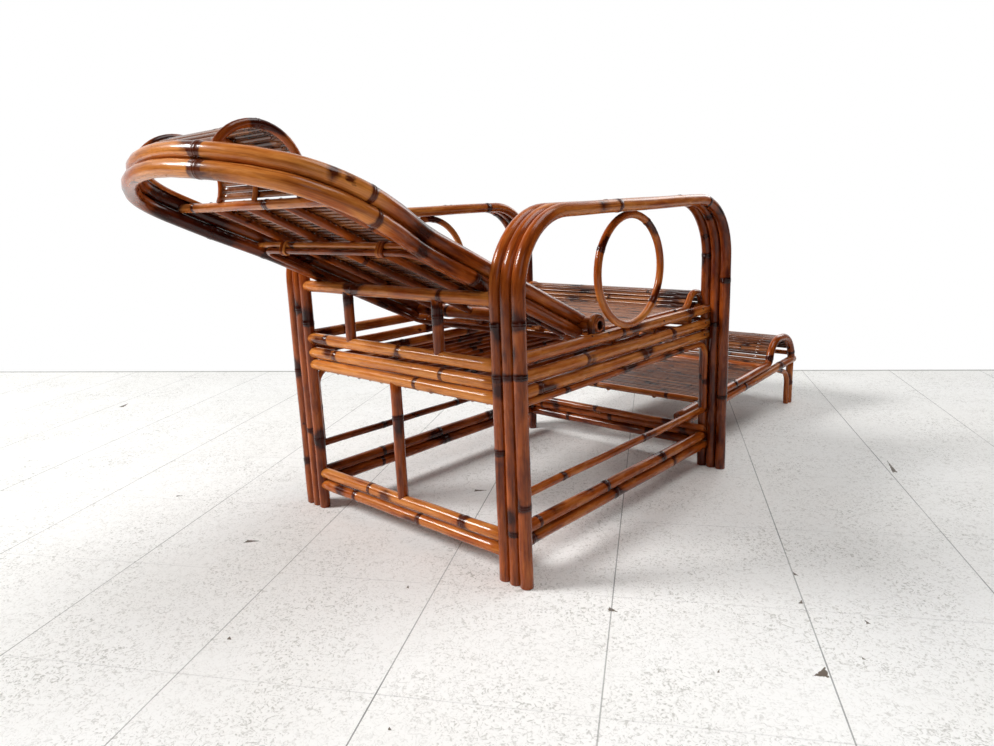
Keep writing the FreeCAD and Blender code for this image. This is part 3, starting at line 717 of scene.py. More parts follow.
def measured(tree, kind, vector, other):
    """A vector node that measures one vector against another one."""
    node = tree.nodes.new("ShaderNodeVectorMath")
    node.operation = kind
    node.inputs[1].default_value = other
    wire(tree, vector, node.inputs[0])
    return node.outputs["Value"]


def grey(value):
    """A grey as a colour."""
    return (value, value, value)


print("sums, mixes and measures are at hand")

# %% [markdown]
# Varnished rattan
#
# Four things make the colour: pale cane and its deeper honey, a red-brown stain that lies thicker in
# some stretches than others, and the flame's black-brown. The body colour runs from stain to pale
# through a slow noise and the stored tone. Fibres and longer runs are noises stretched along the
# grain, and the flame's marks are the stored singeing broken up by a rounder noise. A photograph of
# cane wrapped round the poles would show seams and repeats, which noises in the grain don't. The
# finish is a thin glossy varnish, so the surface is smooth, with a clear coat and only shallow fibre
# bumps.

# %% Mix the varnished cane
cloud_share, tone_share = 0.75, 0.5
streak_shade, run_shade = (0.66, 0.56, 0.48), (0.4, 0.26, 0.2)
streak_strength, run_strength = 0.7, 0.7
flame_floor = 0.45
stray_flame = 0.75
gloss_sharp, gloss_soft = 0.2, 0.36
varnish = {"Specular IOR Level": 0.15, "Coat Weight": 0.38, "Coat Roughness": 0.07}
fibre_bumps = {"Strength": 0.25, "Distance": 0.0004}


def cane_inputs(tree, grained):
    """The grain, the singeing and the tone, from the points or made up from noises."""
    if grained:
        grain, singe, tone = (tree.nodes.new("ShaderNodeAttribute") for _ in range(3))
        grain.attribute_name, singe.attribute_name, tone.attribute_name = "grain", "singe", "tone"
        return grain.outputs["Vector"], singe.outputs["Fac"], tone.outputs["Fac"]
    vector = tree.nodes.new("ShaderNodeTexCoord").outputs["Object"]
    marks = noise_at(tree, vector, scale=6.0, detail=1.0)
    return vector, marks, noise_at(tree, vector, scale=3.0, detail=1.0)


def varnished_cane(name, pale, honey, stained, burnt, grained=True):
    """A cane finish; without grain on its points it takes the object's own coordinates."""
    finish = bpy.data.materials.new(name)
    finish.use_nodes = True
    tree = finish.node_tree
    shader = tree.nodes["Principled BSDF"]
    vector, marks, shade = cane_inputs(tree, grained)
    fibres = noise_at(tree, vector, scale=900.0, stretch=60.0, detail=4.0)
    clouds = noise_at(tree, vector, scale=48.0, stretch=4.0, detail=3.0)
    patches = noise_at(tree, vector, scale=130.0, stretch=3.5, detail=5.0)
    stripes = noise_at(tree, vector, scale=190.0, stretch=26.0, detail=3.0)
    cloudy = sums(tree, "MULTIPLY", clouds, cloud_share)
    body = sums(tree, "ADD", cloudy, sums(tree, "MULTIPLY", shade, tone_share))
    colour = ramp(tree, body, (0.3, stained), (0.58, honey), (0.86, pale))
    streaks = ramp(tree, fibres, (0.3, streak_shade), (0.68, white))
    colour = between(tree, streak_strength, colour, streaks, "MULTIPLY")
    runs = ramp(tree, stripes, (0.32, run_shade), (0.5, white))
    colour = between(tree, run_strength, colour, runs, "MULTIPLY")
    ragged = sums(tree, "MULTIPLY", marks, sums(tree, "ADD", patches, flame_floor))
    stray_noise = noise_at(tree, vector, scale=34.0, stretch=1.8, detail=4.0)
    strays = ramp(tree, stray_noise, (0.6, black), (0.76, grey(stray_flame)))
    flame = sums(tree, "MAXIMUM", ragged, strays)
    mask = ramp(tree, flame, (0.28, black), (0.56, white))
    colour = between(tree, mask, colour, burnt, "MULTIPLY")
    wire(tree, colour, shader.inputs["Base Color"])
    gloss = ramp(tree, clouds, (0.35, grey(gloss_sharp)), (0.75, grey(gloss_soft)))
    wire(tree, gloss, shader.inputs["Roughness"])
    for socket, value in varnish.items():
        shader.inputs[socket].default_value = value
    bump = tree.nodes.new("ShaderNodeBump")
    for socket, value in fibre_bumps.items():
        bump.inputs[socket].default_value = value
    wire(tree, sums(tree, "ADD", fibres, patches), bump.inputs["Height"])
    wire(tree, bump.outputs["Normal"], shader.inputs["Normal"])
    return finish


print("the varnish's coat has a weight of", varnish["Coat Weight"])

# %% [markdown]
# Three canes from one recipe
#
# The poles are orange honey under their varnish. The slats are split from the same cane, but paler
# strips of it that have dulled to brown. The plain rods get a cane finish too, without grain on their
# points, for whoever opens them alone. One recipe with other colours keeps them of one family, where
# three separate finishes would drift apart.

# %% Mix the finishes of poles, slats and rods
pole_colours = ((0.78, 0.29, 0.06), (0.44, 0.095, 0.011), (0.09, 0.01, 0.0015))
slat_colours = ((0.36, 0.13, 0.04), (0.17, 0.048, 0.012), (0.04, 0.008, 0.002))
flame_black = (0.16, 0.08, 0.05)
pole_finish = varnished_cane("pole_cane", *pole_colours, flame_black)
slat_finish = varnished_cane("slat_cane", *slat_colours, flame_black)
plain_finish = varnished_cane("solid_cane", *pole_colours, flame_black, grained=False)
for node in frame["nodes"].values():
    node.data.materials.clear()
    node.data.materials.append(plain_finish)
print("three cane finishes mixed")

# %% [markdown]
# Putting a piece in its solid's place
#
# A finished piece hides the plain rod that it was grown over, moves with the same body and gets a
# finish of its own. Giving the rods themselves more points would be another way, but the imported
# model has to stay as it is.

# %% Stand a piece in for its solid


def stands_for(stock, node, finish=pole_finish):
    """Makes the piece, dresses it and lets it replace its solid."""
    made = stock.object()
    made.data.materials.append(finish)
    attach(made, body_of_node[node])
    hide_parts(node)


def poles(node, *rods):
    """Makes the poles of one node, each given as grow_pole takes it."""
    stock = Stock(node + "_cane")
    for rod in rods:
        grow_pole(stock, *rod)
    stands_for(stock, node)


print("ready to replace", len(body_of_node), "solids")

# %% [markdown]
# The arms
#
# Three poles a side are bent as one: up from the front foot, over the arm, and down to the rear
# foot. They touch all the way round, so they share their corners' radius. A pole swept round a drawn
# curve would do as well, but here the joints sit at distances measured along the bent pole, where the
# real chair has them, and its tone runs from dark feet to pale arms in the same measure.

# %% Bend the arm loops
nailed_gap = 0.2
chair_width = 666.0
post_spacing = 743.4
arm_rear_height = 650.0
arm_front_height = 661.0
arm_corner_radius = 132.0
outer_x = chair_width / 2 - arm_pole / 2
middle_x = outer_x - arm_pole - nailed_gap
inner_x = middle_x - arm_pole - nailed_gap
arm_rear_axis = arm_rear_height - arm_pole / 2
arm_front_axis = arm_front_height - arm_pole / 2
sides = (("right", 1), ("left", -1))

arm_corners = [(0, 0), (0, arm_rear_axis), (post_spacing, arm_front_axis), (post_spacing, 0)]
arm_joints = {
    ("right", "outer"): (150, 377, 463, 870, 1225, 1455, 1735),
    ("right", "middle"): (96, 374, 900, 1290, 1560),
    ("right", "inner"): (240, 370, 458, 905, 1190, 1398, 1690),
    ("left", "inner"): (160, 420, 800, 1162, 1500)}
arm_tones = ((0, 0.25), (500, 0.2), (700, 0.5), (860, 0.7), (1130, 0.65), (1330, 0.0), (2000, 0.0))
for side, sign in sides:
    for which, x in (("outer", outer_x), ("middle", middle_x), ("inner", inner_x)):
        route = route_through(side_plane(sign * x), arm_corners, [arm_corner_radius] * 2)
        joints = arm_joints.get((side, which))
        poles("arm_loop_" + side + "_" + which, (route, arm_pole, joints, (), arm_tones))
print("each arm pole is", round(route.length), "mm long")

# %% [markdown]
# The side frames
#
# Three rails carry the seat on each side, over one thin rail and a pair of stretchers. Their ends are
# hollowed to fit round the posts. That could be cut with a boolean, but here they simply run into the
# posts, which hides the same joint and keeps the mesh clean. Nails go in through the rails, and the
# burnt dome of each head shows.

# %% Lay the side rails
side_rail = 22.6
rail_outset = 6.0
side_x = inner_x + rail_outset
rail_heights = {"top": 393.0, "second": 359.4, "third": 331.7}
lower_rail = 16.0
lower_rail_height = 146.0
stretcher = 24.0
stretcher_height = 81.3
stretcher_step = stretcher + nailed_gap
rail_end = 3.0
nail_radius = 2.4
nail_sides = 8
nail_profile = ((1.0, -0.8), (1.0, 0.2), (0.6, 0.8))


def along_side(x, z):
    """A straight route along a side, from post to post."""
    return straight((x, rail_end, z), (x, post_spacing - rail_end, z))


def grow_nail(stock, middle, outward):
    """Adds the burnt, domed head of a nail."""
    aside = outward.orthogonal().normalized()
    above = outward.cross(aside)
    rings = []
    for share, lift in nail_profile:
        ring = []
        for i in range(nail_sides):
            turn = math.tau * i / nail_sides
            around = aside * math.cos(turn) + above * math.sin(turn)
            ring.append(middle + (around * (nail_radius * share) + outward * lift) * MM)
        rings.append((ring, ring, [1.0] * nail_sides, 0.0))
    starts = stock.sweep(rings, lids=False)
    stock.lid(starts[-1], nail_sides, False)


rail_joints = {"top": (25, 358, 640), "second": (236, 560), "third": (92, 446), "low": (159, 449)}
left_rail_joints = {"top": (90, 420, 655)}
rail_nails = {"top": ((255, 52), (309, 40), (385, 20), (518, 12), (700, 30)),
              "second": ((30, 25), (712, 20)), "third": ((36, 20), (708, 25))}
for side, sign in sides:
    x = sign * side_x
    joints = rail_joints if side == "right" else left_rail_joints
    for which, z in rail_heights.items():
        rail = Stock("seat_rail_" + side + "_" + which + "_cane")
        grow_pole(rail, along_side(x, z), side_rail, joints.get(which))
        for y, lift in rail_nails[which]:
            outward = Vector((sign * math.cos(math.radians(lift)), 0, math.sin(math.radians(lift))))
            grow_nail(rail, place(x, y, z) + outward * (side_rail / 2 * MM), outward)
        stands_for(rail, "seat_rail_" + side + "_" + which)
    poles("lower_rail_" + side, (along_side(x, lower_rail_height), lower_rail, joints.get("low")))
    poles("side_stretchers_" + side, (along_side(x, stretcher_height), stretcher),
          (along_side(x, stretcher_height - stretcher_step), stretcher))
print("three rails a side, at heights of", list(rail_heights.values()), "mm")

# %% [markdown]
# The slim braces
#
# Under the third rail a slim pole runs forward, bent down at both ends to the low rail. It stiffens
# the corners. It could be three pieces, but the real one is a single bent length, and so is this.

# %% Bend the slim brace inside each side
brace_pole = 13.0
brace_distance = 15.9
brace_radius = 35.0
brace_outset = 4.0
brace_overlap = 5.0
brace_top = rail_heights["third"] - side_rail / 2 - nailed_gap - brace_pole / 2
brace_foot = lower_rail_height + brace_overlap
brace_front = post_spacing - brace_distance
brace_corners = [(brace_distance, brace_foot), (brace_distance, brace_top),
                 (brace_front, brace_top), (brace_front, brace_foot)]
for side, sign in sides:
    route = route_through(side_plane(sign * (side_x + brace_outset)), brace_corners, [brace_radius] * 2)
    poles("arch_brace_" + side, (route, brace_pole))
print("a slim brace is", round(route.length), "mm long")

# %% [markdown]
# The rings under the arms
#
# Each arm holds a ring of slim cane, a little longer than it is high. An ellipse would be the short
# way, but cane bends into arcs: two flat ones above and below, two tight ones at the ends. The ring
# touches the rail below and the arm above, and its height follows from them.

# %% Bend the oval rings under the arms
ring_pole = 15.5
ring_outset = 12.0
ring_x = side_x + ring_outset
ring_y = 381.0
ring_end_share = 0.93
ring_length_share = 1.0615
to_rail = side_rail / 2 + ring_pole / 2 + nailed_gap
to_arm = arm_pole / 2 + ring_pole / 2 + nailed_gap
arm_over_ring = arm_rear_axis + (arm_front_axis - arm_rear_axis) * ring_y / post_spacing
ring_bottom = rail_heights["top"] + math.sqrt(to_rail ** 2 - ring_outset ** 2)
ring_top = arm_over_ring - math.sqrt(to_arm ** 2 - (middle_x - ring_x) ** 2)
half_high = (ring_top - ring_bottom) / 2
ring_end_radius = half_high * ring_end_share
reach = half_high * ring_length_share - ring_end_radius
flat_radius = (reach ** 2 + half_high ** 2 - ring_end_radius ** 2) / (2 * (half_high - ring_end_radius))
flat_turn = math.degrees(math.atan2(reach, flat_radius - half_high))
end_turn = 180 - 2 * flat_turn
for side, sign in sides:
    route = Route(side_plane(sign * ring_x), (ring_y, ring_bottom), 0)
    route.bend(flat_radius, flat_turn).bend(ring_end_radius, end_turn)
    route.bend(flat_radius, 2 * flat_turn).bend(ring_end_radius, end_turn)
    route.bend(flat_radius, flat_turn)
    route.closed = True
    poles("arm_ring_" + side, (route, ring_pole))
print("a ring is", round(2 * half_high + ring_pole), "mm high")

# %% [markdown]
# The rear and the front
#
# The reclined back rests on the rear top rail. Two spindles tie that rail to the seat rails, and one
# post in the middle ties these to the stretchers. The front has the same rails without the top one.
# All of them are straight, so a cylinder would give their shape, but not their joints and grain.

# %% Lay the rails across the chair
rear_rail = 24.0
rear_y = 2.4
rear_top = (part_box("rear_top_rail")[0].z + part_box("rear_top_rail")[1].z) / 2 / MM
rear_heights = (387.9, 356.9, 331.0)
rear_stretcher_heights = (82.0, 54.0)
rail_overlap = 4.0
across_end = inner_x - rail_overlap
spindle_x, spindle = 129.0, 21.0
rear_post = 22.0


def across_chair(y, z, half=across_end):
    """A straight route across the chair, from the sitter's left to the right."""
    return straight((-half, y, z), (half, y, z))


def rear_upright(x, low, high):
    """A straight route up at the rear of the chair."""
    return straight((x, rear_y, low), (x, rear_y, high))


rear_top_joints = (across_end - 103, across_end + 144)
poles("rear_top_rail", (across_chair(rear_y, rear_top), rear_rail, rear_top_joints))
rear_joints = ((60, across_end + 23), (across_end - 180, across_end + 137), (across_end + 65,))
poles("rear_seat_rails", *[(across_chair(rear_y, z), rear_rail, joints)
                           for z, joints in zip(rear_heights, rear_joints)])
poles("rear_stretchers", *[(across_chair(rear_y, z), stretcher) for z in rear_stretcher_heights])
poles("rear_spindles", *[(rear_upright(x, rear_heights[0], rear_top), spindle)
                         for x in (-spindle_x, spindle_x)])
poles("rear_post", (rear_upright(0, rear_stretcher_heights[0], rear_heights[2]), rear_post))
poles("front_seat_rails", *[(across_chair(post_spacing, z), side_rail) for z in rail_heights.values()])
poles("front_stretchers", *[(across_chair(post_spacing, z), stretcher)
                            for z in (stretcher_height, stretcher_height - stretcher_step)])
print("the rear top rail lies at", round(rear_top, 1), "mm")

# %% [markdown]
# The seat
#
# Two side poles rise over a roll at the front edge and turn down against the front rails, and the
# slats lie between them. A sculpted roll would leave the slats to guess where it is. The side poles
# are one outline of runs and bends instead, and the slats take the same outline again.

# %% Bend the seat's side poles
seat_pole = 16.0
seat_spread = 250.0
seat_height = 396.0
seat_rear, seat_rise, roll_rear, roll_top, roll_end = 330.0, 688.0, 718.0, 431.0, 372.0
roll_front = post_spacing + side_rail / 2 + nailed_gap + seat_pole / 2
seat_corners = [(seat_rear, seat_height), (seat_rise, seat_height), (roll_rear, roll_top),
                (roll_front, roll_top), (roll_front, roll_end)]
seat_radii = [28.0, 24.0, 26.0]
for side, sign in sides:
    route = route_through(side_plane(sign * seat_spread), seat_corners, seat_radii)
    poles("seat_side_pole_" + side, (route, seat_pole))
print("a side pole of the seat is", round(route.length), "mm long")

# %% [markdown]
# Under the seat
#
# Slim poles run lengthwise low under the seat, and three cross rails carry its side poles. An array
# would copy one pole fourteen times, joints and all. Each one here is grown by itself, which costs
# nothing more and gives each its own joints.

# %% Lay the poles and rails under the seat
deck_pole, deck_count, deck_pitch = 12.0, 14, 36.0
deck_drop, deck_rear_inset, deck_front_inset = 11.5, 7.2, 6.8
deck_z = rear_heights[2] - deck_drop
deck_rear, deck_front = rear_y + deck_rear_inset, post_spacing - deck_front_inset
deck = []
for step in range(deck_count):
    x = (step - deck_count / 2 + 0.5) * deck_pitch
    deck.append((straight((x, deck_rear, deck_z), (x, deck_front, deck_z)), deck_pole))
poles("seat_deck_poles", *deck)
cross_rail = 20.0
cross_rail_places = (345.0, 510.0, 668.0)
cross_z = seat_height - seat_pole / 2 - nailed_gap - cross_rail / 2
poles("seat_cross_rails", *[(across_chair(y, cross_z, side_x - rail_outset), cross_rail)
                            for y in cross_rail_places])
print(deck_count, "slim poles lie under the seat")

# %% [markdown]
# A line for the slats
#
# The slats are let in between the side poles, a little over the poles' centre line. Scaling the
# outline would move its flat part and its roll by different amounts. Each corner is moved square to
# the line instead, and the bends' radii grow or shrink with it.

# %% Raise an outline
slat_rise = 2.0
slat_middle = slat_thickness / 2


def raised(corners, radii, rise):
    """An outline moved sideways to its left, with its bends' radii changed to suit."""
    flat = [Vector((a, b)) for a, b in corners]
    moved, bends = [], []
    for index, corner in enumerate(flat):
        ahead = (flat[min(index + 1, len(flat) - 1)] - flat[min(index, len(flat) - 2)]).normalized()
        behind = (flat[max(index, 1)] - flat[max(index - 1, 0)]).normalized()
        normal = (Vector((-ahead.y, ahead.x)) + Vector((-behind.y, behind.x))).normalized()
        moved.append(corner + normal * (rise / math.cos(ahead.angle(behind) / 2)))
        if 0 < index < len(flat) - 1:
            left = behind.x * ahead.y - behind.y * ahead.x > 0
            bends.append(radii[index - 1] + (-rise if left else rise))
    return [tuple(p) for p in moved], bends


print("a slat's underside lies", round(slat_middle - slat_rise, 2), "mm under the poles' centre line")

# %% [markdown]
# The seat's slats
#
# The slats follow the side poles over the flat seat and round its roll, each one square to the
# outline. A path constraint or an array along a curve could carry them, but their spacing would
# stretch in the bends. Here each slat is set a fixed distance on. A few near the rear corner are
# scorched at the same place across.

# %% Lay the slats of the seat
seat_pitch = 11.8
seat_scorch = (345, 450, 212.0, 30.0)


def slats_along(stock, route, first, pitch, end, half_length, scorched=None):
    """Lays slats side by side along a route; scorched is (from, to, x, reach)."""
    distance = first
    count = 0
    while distance < end:
        point, direction = route.at(distance)
        up = Vector((1, 0, 0)).cross(direction)
        scorch = scorched[2:] if scorched and scorched[0] < distance < scorched[1] else None
        grow_slat(stock, point - up * (slat_middle * MM), direction, up, half_length, scorch)
        distance += pitch
        count += 1
    return count


seat_slats = Stock("seat_slats_cane")
outline = route_through(side_plane(0), *raised(seat_corners, seat_radii, slat_rise))
half = seat_spread - seat_pole / 2 - nailed_gap
last = outline.length - slat_width
count = slats_along(seat_slats, outline, slat_width, seat_pitch, last, half, seat_scorch)
stands_for(seat_slats, "seat_slats", slat_finish)
print(count, "slats on the seat")

# %% [markdown]
# The laths
#
# Two flat laths under the slats keep them from sagging. A lath is a broad strip with eased edges,
# so the slat's own section does for it, stretched to the lath's width. A plain box would be simpler,
# but its sharp edges would catch the light as no cut cane does.

# %% Lay the laths under the seat
lath_x, lath_width = 85.0, 22.0
lath_front = 660.0
lath_steps = 12
lath_singe, lath_singe_reach = 0.7, 30


def grow_lath(stock, start, end, width, height, up):
    """Adds a flat strip between two scene points, its underside on them."""
    run = end - start
    length = run.length / MM
    direction = run.normalized()
    across = up.cross(direction)
    tone = stock.chance.random()
    offset = Vector((stock.chance.uniform(0, grain_spread), 0, 0))
    joints = scattered_joints(stock.chance, length)
    rings = []
    for step in range(lath_steps + 1):
        distance = length * step / lath_steps
        points, grains = [], []
        for aside, rise in slat_section:
            at = across * (width * aside) + up * (height * rise) + direction * distance
            points.append(start + at * MM)
            grains.append(Vector((width * aside, height * rise, distance)) * MM + offset)
        burnt = sum(lath_singe * math.exp(-((distance - joint) / lath_singe_reach) ** 2) for joint in joints)
        rings.append((points, grains, [min(1.0, burnt)] * len(points), tone))
    stock.sweep(rings)


lath_low = seat_height - seat_pole / 2
lath_height = seat_height + slat_rise - slat_middle - nailed_gap - lath_low
laths = Stock("seat_battens_cane")
for x in (-lath_x, lath_x):
    start, end = place(x, seat_rear, lath_low), place(x, lath_front, lath_low)
    grow_lath(laths, start, end, lath_width, lath_height, Vector((0, 0, 1)))
stands_for(laths, "seat_battens")
print("the laths are", round(lath_height, 2), "mm thick")

# %% [markdown]
# The back
#
# The back turns on a stout bar that lies on the side rails. Its sides are two poles, one on the
# other, that spread towards the head and meet in a broad arch. It could be modelled flat and turned
# afterwards. Here everything on it is set out on a tilted plane from the start: across, then along
# from the bar, then above the seam between the two poles.

# %% Set out the reclined back
recline = math.radians(24.95)
pivot_y = 285.0
pivot_bar = 28.0
pivot_z = (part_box("pivot_bar")[0].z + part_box("pivot_bar")[1].z) / 2 / MM
pivot_above_parting = 7.0
back_up = Vector((0, -math.cos(recline), math.sin(recline)))
back_face = Vector((0, math.sin(recline), math.cos(recline)))


def back_place(x, along, above):
    """A point of the scene on the back."""
    spot = Vector((x, pivot_y, pivot_z)) + back_up * along + back_face * (above - pivot_above_parting)
    return place(*spot)


def back_straight(start, end):
    """A straight route between two points of the back."""
    start, end = Vector(start), Vector(end)
    run = (end - start).normalized()
    route = Route(lambda along, beside: back_place(*(start + run * along)), (0, 0), 0)
    return route.run((end - start).length)


print("the back leans at", round(math.degrees(recline), 1), "degrees")

# %% [markdown]
# The outline of the back
#
# The sides are straight, then flare out to the shoulders, and a wide arch joins them over the head. A
# freehand curve could follow that. Here each bend is an arc that meets the next one smoothly, and
# its radius and turn follow from a few lengths and widths that can be measured on the chair.

# %% Work out the bends of the back
hoop_pole = 26.0
hoop_spread, hoop_flare = 237.0, 37.0
hoop_straight, hoop_shoulder, hoop_end = 388.5, 597.5, 756.0
hoop_corner = 110.0
hoop_above = hoop_pole / 2 + nailed_gap / 2
flare_length = hoop_shoulder - hoop_straight
flare_radius = (flare_length ** 2 + hoop_flare ** 2) / (4 * hoop_flare)
flare_turn = math.degrees(math.asin(flare_length / 2 / flare_radius))
head_half = hoop_spread + hoop_flare
head_rise = hoop_end - hoop_shoulder
head_reach = head_half - hoop_corner
head_radius = (head_reach ** 2 + head_rise ** 2 - hoop_corner ** 2) / (2 * (head_rise - hoop_corner))
head_turn = math.degrees(math.atan2(head_reach, head_radius - head_rise))
print("the head arch has a radius of", round(head_radius), "mm over", round(2 * head_turn), "degrees")

# %% [markdown]
# The two poles of the back
#
# Both poles follow one outline: straight from the bar, a gentle flare, a tight shoulder and the head
# arch, then the same again down the other side. Mirroring a half would save the second side, but the
# joints and the flame's marks of a real pole aren't the same on both. The pivot bar lies across their
# feet, and the hollow of its cane shows at both ends.

# %% Bend the two poles of the back
hoop_foot = 3.0
hoop_tones = ((0, 0.3), (330, 0.3), (430, 0.05), (510, 0.15), (570, 0.7))
bar_half = 283.2
bar_joints = (150, 390)


def hoop_half(along):
    """Half the distance between the centre lines of the back's side poles."""
    middle = (hoop_straight + hoop_shoulder) / 2
    if along < hoop_straight:
        return hoop_spread
    if along < middle:
        return hoop_spread + flare_radius - math.sqrt(flare_radius ** 2 - (along - hoop_straight) ** 2)
    return head_half - flare_radius + math.sqrt(flare_radius ** 2 - (hoop_shoulder - along) ** 2)


def back_side(route, inset, foot):
    """One side of the hoop, from a little above the pivot to the head's corner."""
    route.run(hoop_straight - foot)
    route.bend(flare_radius + inset, -flare_turn).bend(flare_radius - inset, flare_turn)
    return route.bend(hoop_corner - inset, 90 - head_turn)


def hoop_route(above):
    """The whole outline of the back, at a height above the seam between its poles."""
    route = Route(lambda x, along: back_place(x, along, above), (hoop_spread, hoop_foot), 90)
    back_side(route, 0, hoop_foot).bend(head_radius, 2 * head_turn).bend(hoop_corner, 90 - head_turn)
    return route.bend(flare_radius, flare_turn).bend(flare_radius, -flare_turn).run(hoop_straight - hoop_foot)


length = hoop_route(0).length
head = length / 2
tones = hoop_tones + ((head, 0.9), (head + 200, 0.15), (1900, 0.1))
hoops = {"rear": (-hoop_above, (317, 570, 835, head + 420, length - 420), ((835, 10), (462, 15), (1320, 90))),
         "front": (hoop_above, (205, 590, 845, head + 300, length - 330), ((845, 10), (468, 30), (1310, 90)))}
for which, (above, joints, scorches) in hoops.items():
    poles("back_hoop_" + which, (hoop_route(above), hoop_pole, joints, scorches, tones))
bar_route = straight((-bar_half, pivot_y, pivot_z), (bar_half, pivot_y, pivot_z))
poles("pivot_bar", (bar_route, pivot_bar, bar_joints, (), None, True))
print("each pole of the back is", round(length), "mm long")

# %% [markdown]
# The frame inside the back
#
# A slim pole runs up each side, inside the stout ones and over the slats' ends. Two crossbars tie the
# sides, and four battens carry the slats. The slim poles follow the sides at a fixed inset. A copy of
# the hoop scaled down would touch it in some places and leave it in others.

# %% Lay the slim edge poles, the crossbars and the battens
batten_top = 17.0
edge_pole = 8.0
edge_foot = 4.0
edge_above = batten_top + nailed_gap + slat_thickness + edge_pole / 2
edge_inset = math.sqrt((hoop_pole / 2 + edge_pole / 2 + nailed_gap) ** 2 - (edge_above - hoop_above) ** 2)
edges = []
for side, sign in sides:
    route = Route(lambda x, along, sign=sign: back_place(sign * x, along, edge_above),
                  (hoop_spread - edge_inset, edge_foot), 90)
    edges.append((back_side(route, edge_inset, edge_foot), edge_pole))
poles("back_edge_poles", *edges)
crossbar_along, crossbar_above, crossbar = 588.5, 6.0, 16.0
batten = 15.0
batten_above = batten_top - batten / 2
batten_foot = 8.0
batten_places = (-165.0, -55.0, 55.0, 165.0)
lower_bar = 12.0
prop_along = 439.5
lower_above = batten_above - batten / 2 - nailed_gap - lower_bar / 2
bar_overlap = 5.0


def across_back(along, above):
    """A straight route across the back, from one side pole to the other."""
    half = hoop_half(along) - bar_overlap
    return back_straight((-half, along, above), (half, along, above))


poles("back_crossbar_upper", (across_back(crossbar_along, crossbar_above), crossbar))
poles("back_crossbar_lower", (across_back(prop_along, lower_above), lower_bar))
battens = []
for x in batten_places:
    route = back_straight((x, batten_foot, batten_above), (x, crossbar_along, batten_above))
    battens.append((route, batten))
poles("back_battens", *battens)
print("the slim poles lie", round(edge_inset, 1), "mm inside the stout ones")

# %% [markdown]
# The slats of the back
#
# The back's slats are cut to the width between its side poles, which spread towards the head. They
# could all be long and hidden in the poles, but their ends show from the side, so each is as long as
# the gap at its own height.

# %% Lay the slats of the back
slat_floor = batten_top + nailed_gap
beside_hoop = math.sqrt((hoop_pole / 2 + nailed_gap) ** 2 - (slat_floor - hoop_above) ** 2)
back_slats = Stock("back_slats_cane")
first_back_slat, back_pitch = 30.0, 12.0
along = first_back_slat
count = 0
while along < crossbar_along - crossbar / 2 - slat_width / 2:
    width = min(hoop_half(along - slat_width / 2), hoop_half(along + slat_width / 2))
    half = width - beside_hoop - nailed_gap
    grow_slat(back_slats, back_place(0, along, slat_floor), back_up, back_face, half)
    along += back_pitch
    count += 1
stands_for(back_slats, "back_slats", slat_finish)
print(count, "slats on the back")

# %% [markdown]
# The headrest
#
# A half-round roll stands on the head of the back: two bent end poles, slats let in between them, and
# a slimmer rib under the slats. A cylinder cut in half would give the form. It is built from its own
# strips instead, because daylight shows between them.

# %% Bend and floor the headrest
roll_along, roll_above, roll_radius = 665.5, 8.0, 72.5
roll_spread, roll_pole, roll_rib = 120.0, 13.0, 9.0
roll_foot_above, roll_foot = crossbar_above + 4.0, 0.5
roll_first, roll_last = 10.0, 161.0
roll_pitch = 11.0
for side, sign in sides:
    route = Route(lambda along, above, sign=sign: back_place(sign * roll_spread, along, above),
                  (roll_along - roll_radius, roll_foot_above), 90)
    poles("headrest_arch_" + side, (route.run(roll_foot).bend(roll_radius, -180), roll_pole))
roll_slats = Stock("headrest_slats_cane")
half = roll_spread - roll_pole / 2 - nailed_gap
angle = roll_first
while angle < roll_last:
    turn = math.radians(angle)
    outward = back_face * math.sin(turn) - back_up * math.cos(turn)
    middle = back_place(0, roll_along, roll_above) + outward * ((roll_radius - slat_middle) * MM)
    grow_slat(roll_slats, middle, outward.cross(Vector((1, 0, 0))), outward, half)
    angle += math.degrees(roll_pitch / roll_radius)
stands_for(roll_slats, "headrest_slats", slat_finish)
rib_radius = roll_radius - slat_middle - nailed_gap - roll_rib / 2
route = Route(lambda along, above: back_place(0, along, above), (roll_along - rib_radius, roll_above), 90)
poles("headrest_rib", (route.bend(rib_radius, -roll_last), roll_rib))
print("the headrest has a radius of", roll_radius, "mm")

# %% [markdown]
# The prop
#
# A loop of slim pole swings under the back. When the back is lifted, its free bar drops behind the
# spindles onto the rear seat rail and holds the back up. It is drawn as one closed route, because the
# real one is a single cane bent round four corners, where four separate rods would leave seams.

# %% Bend the prop loop
prop_pole = 11.0
prop_clearance = 0.3
prop_above = lower_above - lower_bar / 2 - prop_clearance - prop_pole / 2
prop_droop = math.radians(1.2)
prop_tilt = recline + prop_droop
prop_length = 437.5
prop_half = 218.0
prop_corner = 30.0
prop_joints = (90, 760, 940, 1600)


def prop_place(x, down):
    """A point of the scene on the prop's plane."""
    away = Vector((0, math.cos(prop_tilt), -math.sin(prop_tilt))) * (down * MM)
    return back_place(x, prop_along, prop_above) + away


prop_corners = [(-prop_half, 0), (prop_half, 0), (prop_half, prop_length), (-prop_half, prop_length)]
prop_route = route_through(prop_place, prop_corners, [prop_corner] * 4, closed=True)
poles("prop_hoop", (prop_route, prop_pole, prop_joints))
print("the prop is a loop", round(prop_route.length), "mm round")

# %% [markdown]
# The bindings
#
# Wound bindings hold the prop's hinge bar to the crossbar above it. Each is a strip of cane skin
# wound round both bars, turn beside turn, with room for the bar to turn inside. One long spiral would
# be truer, but closed turns side by side look the same and can't come undone where they meet.

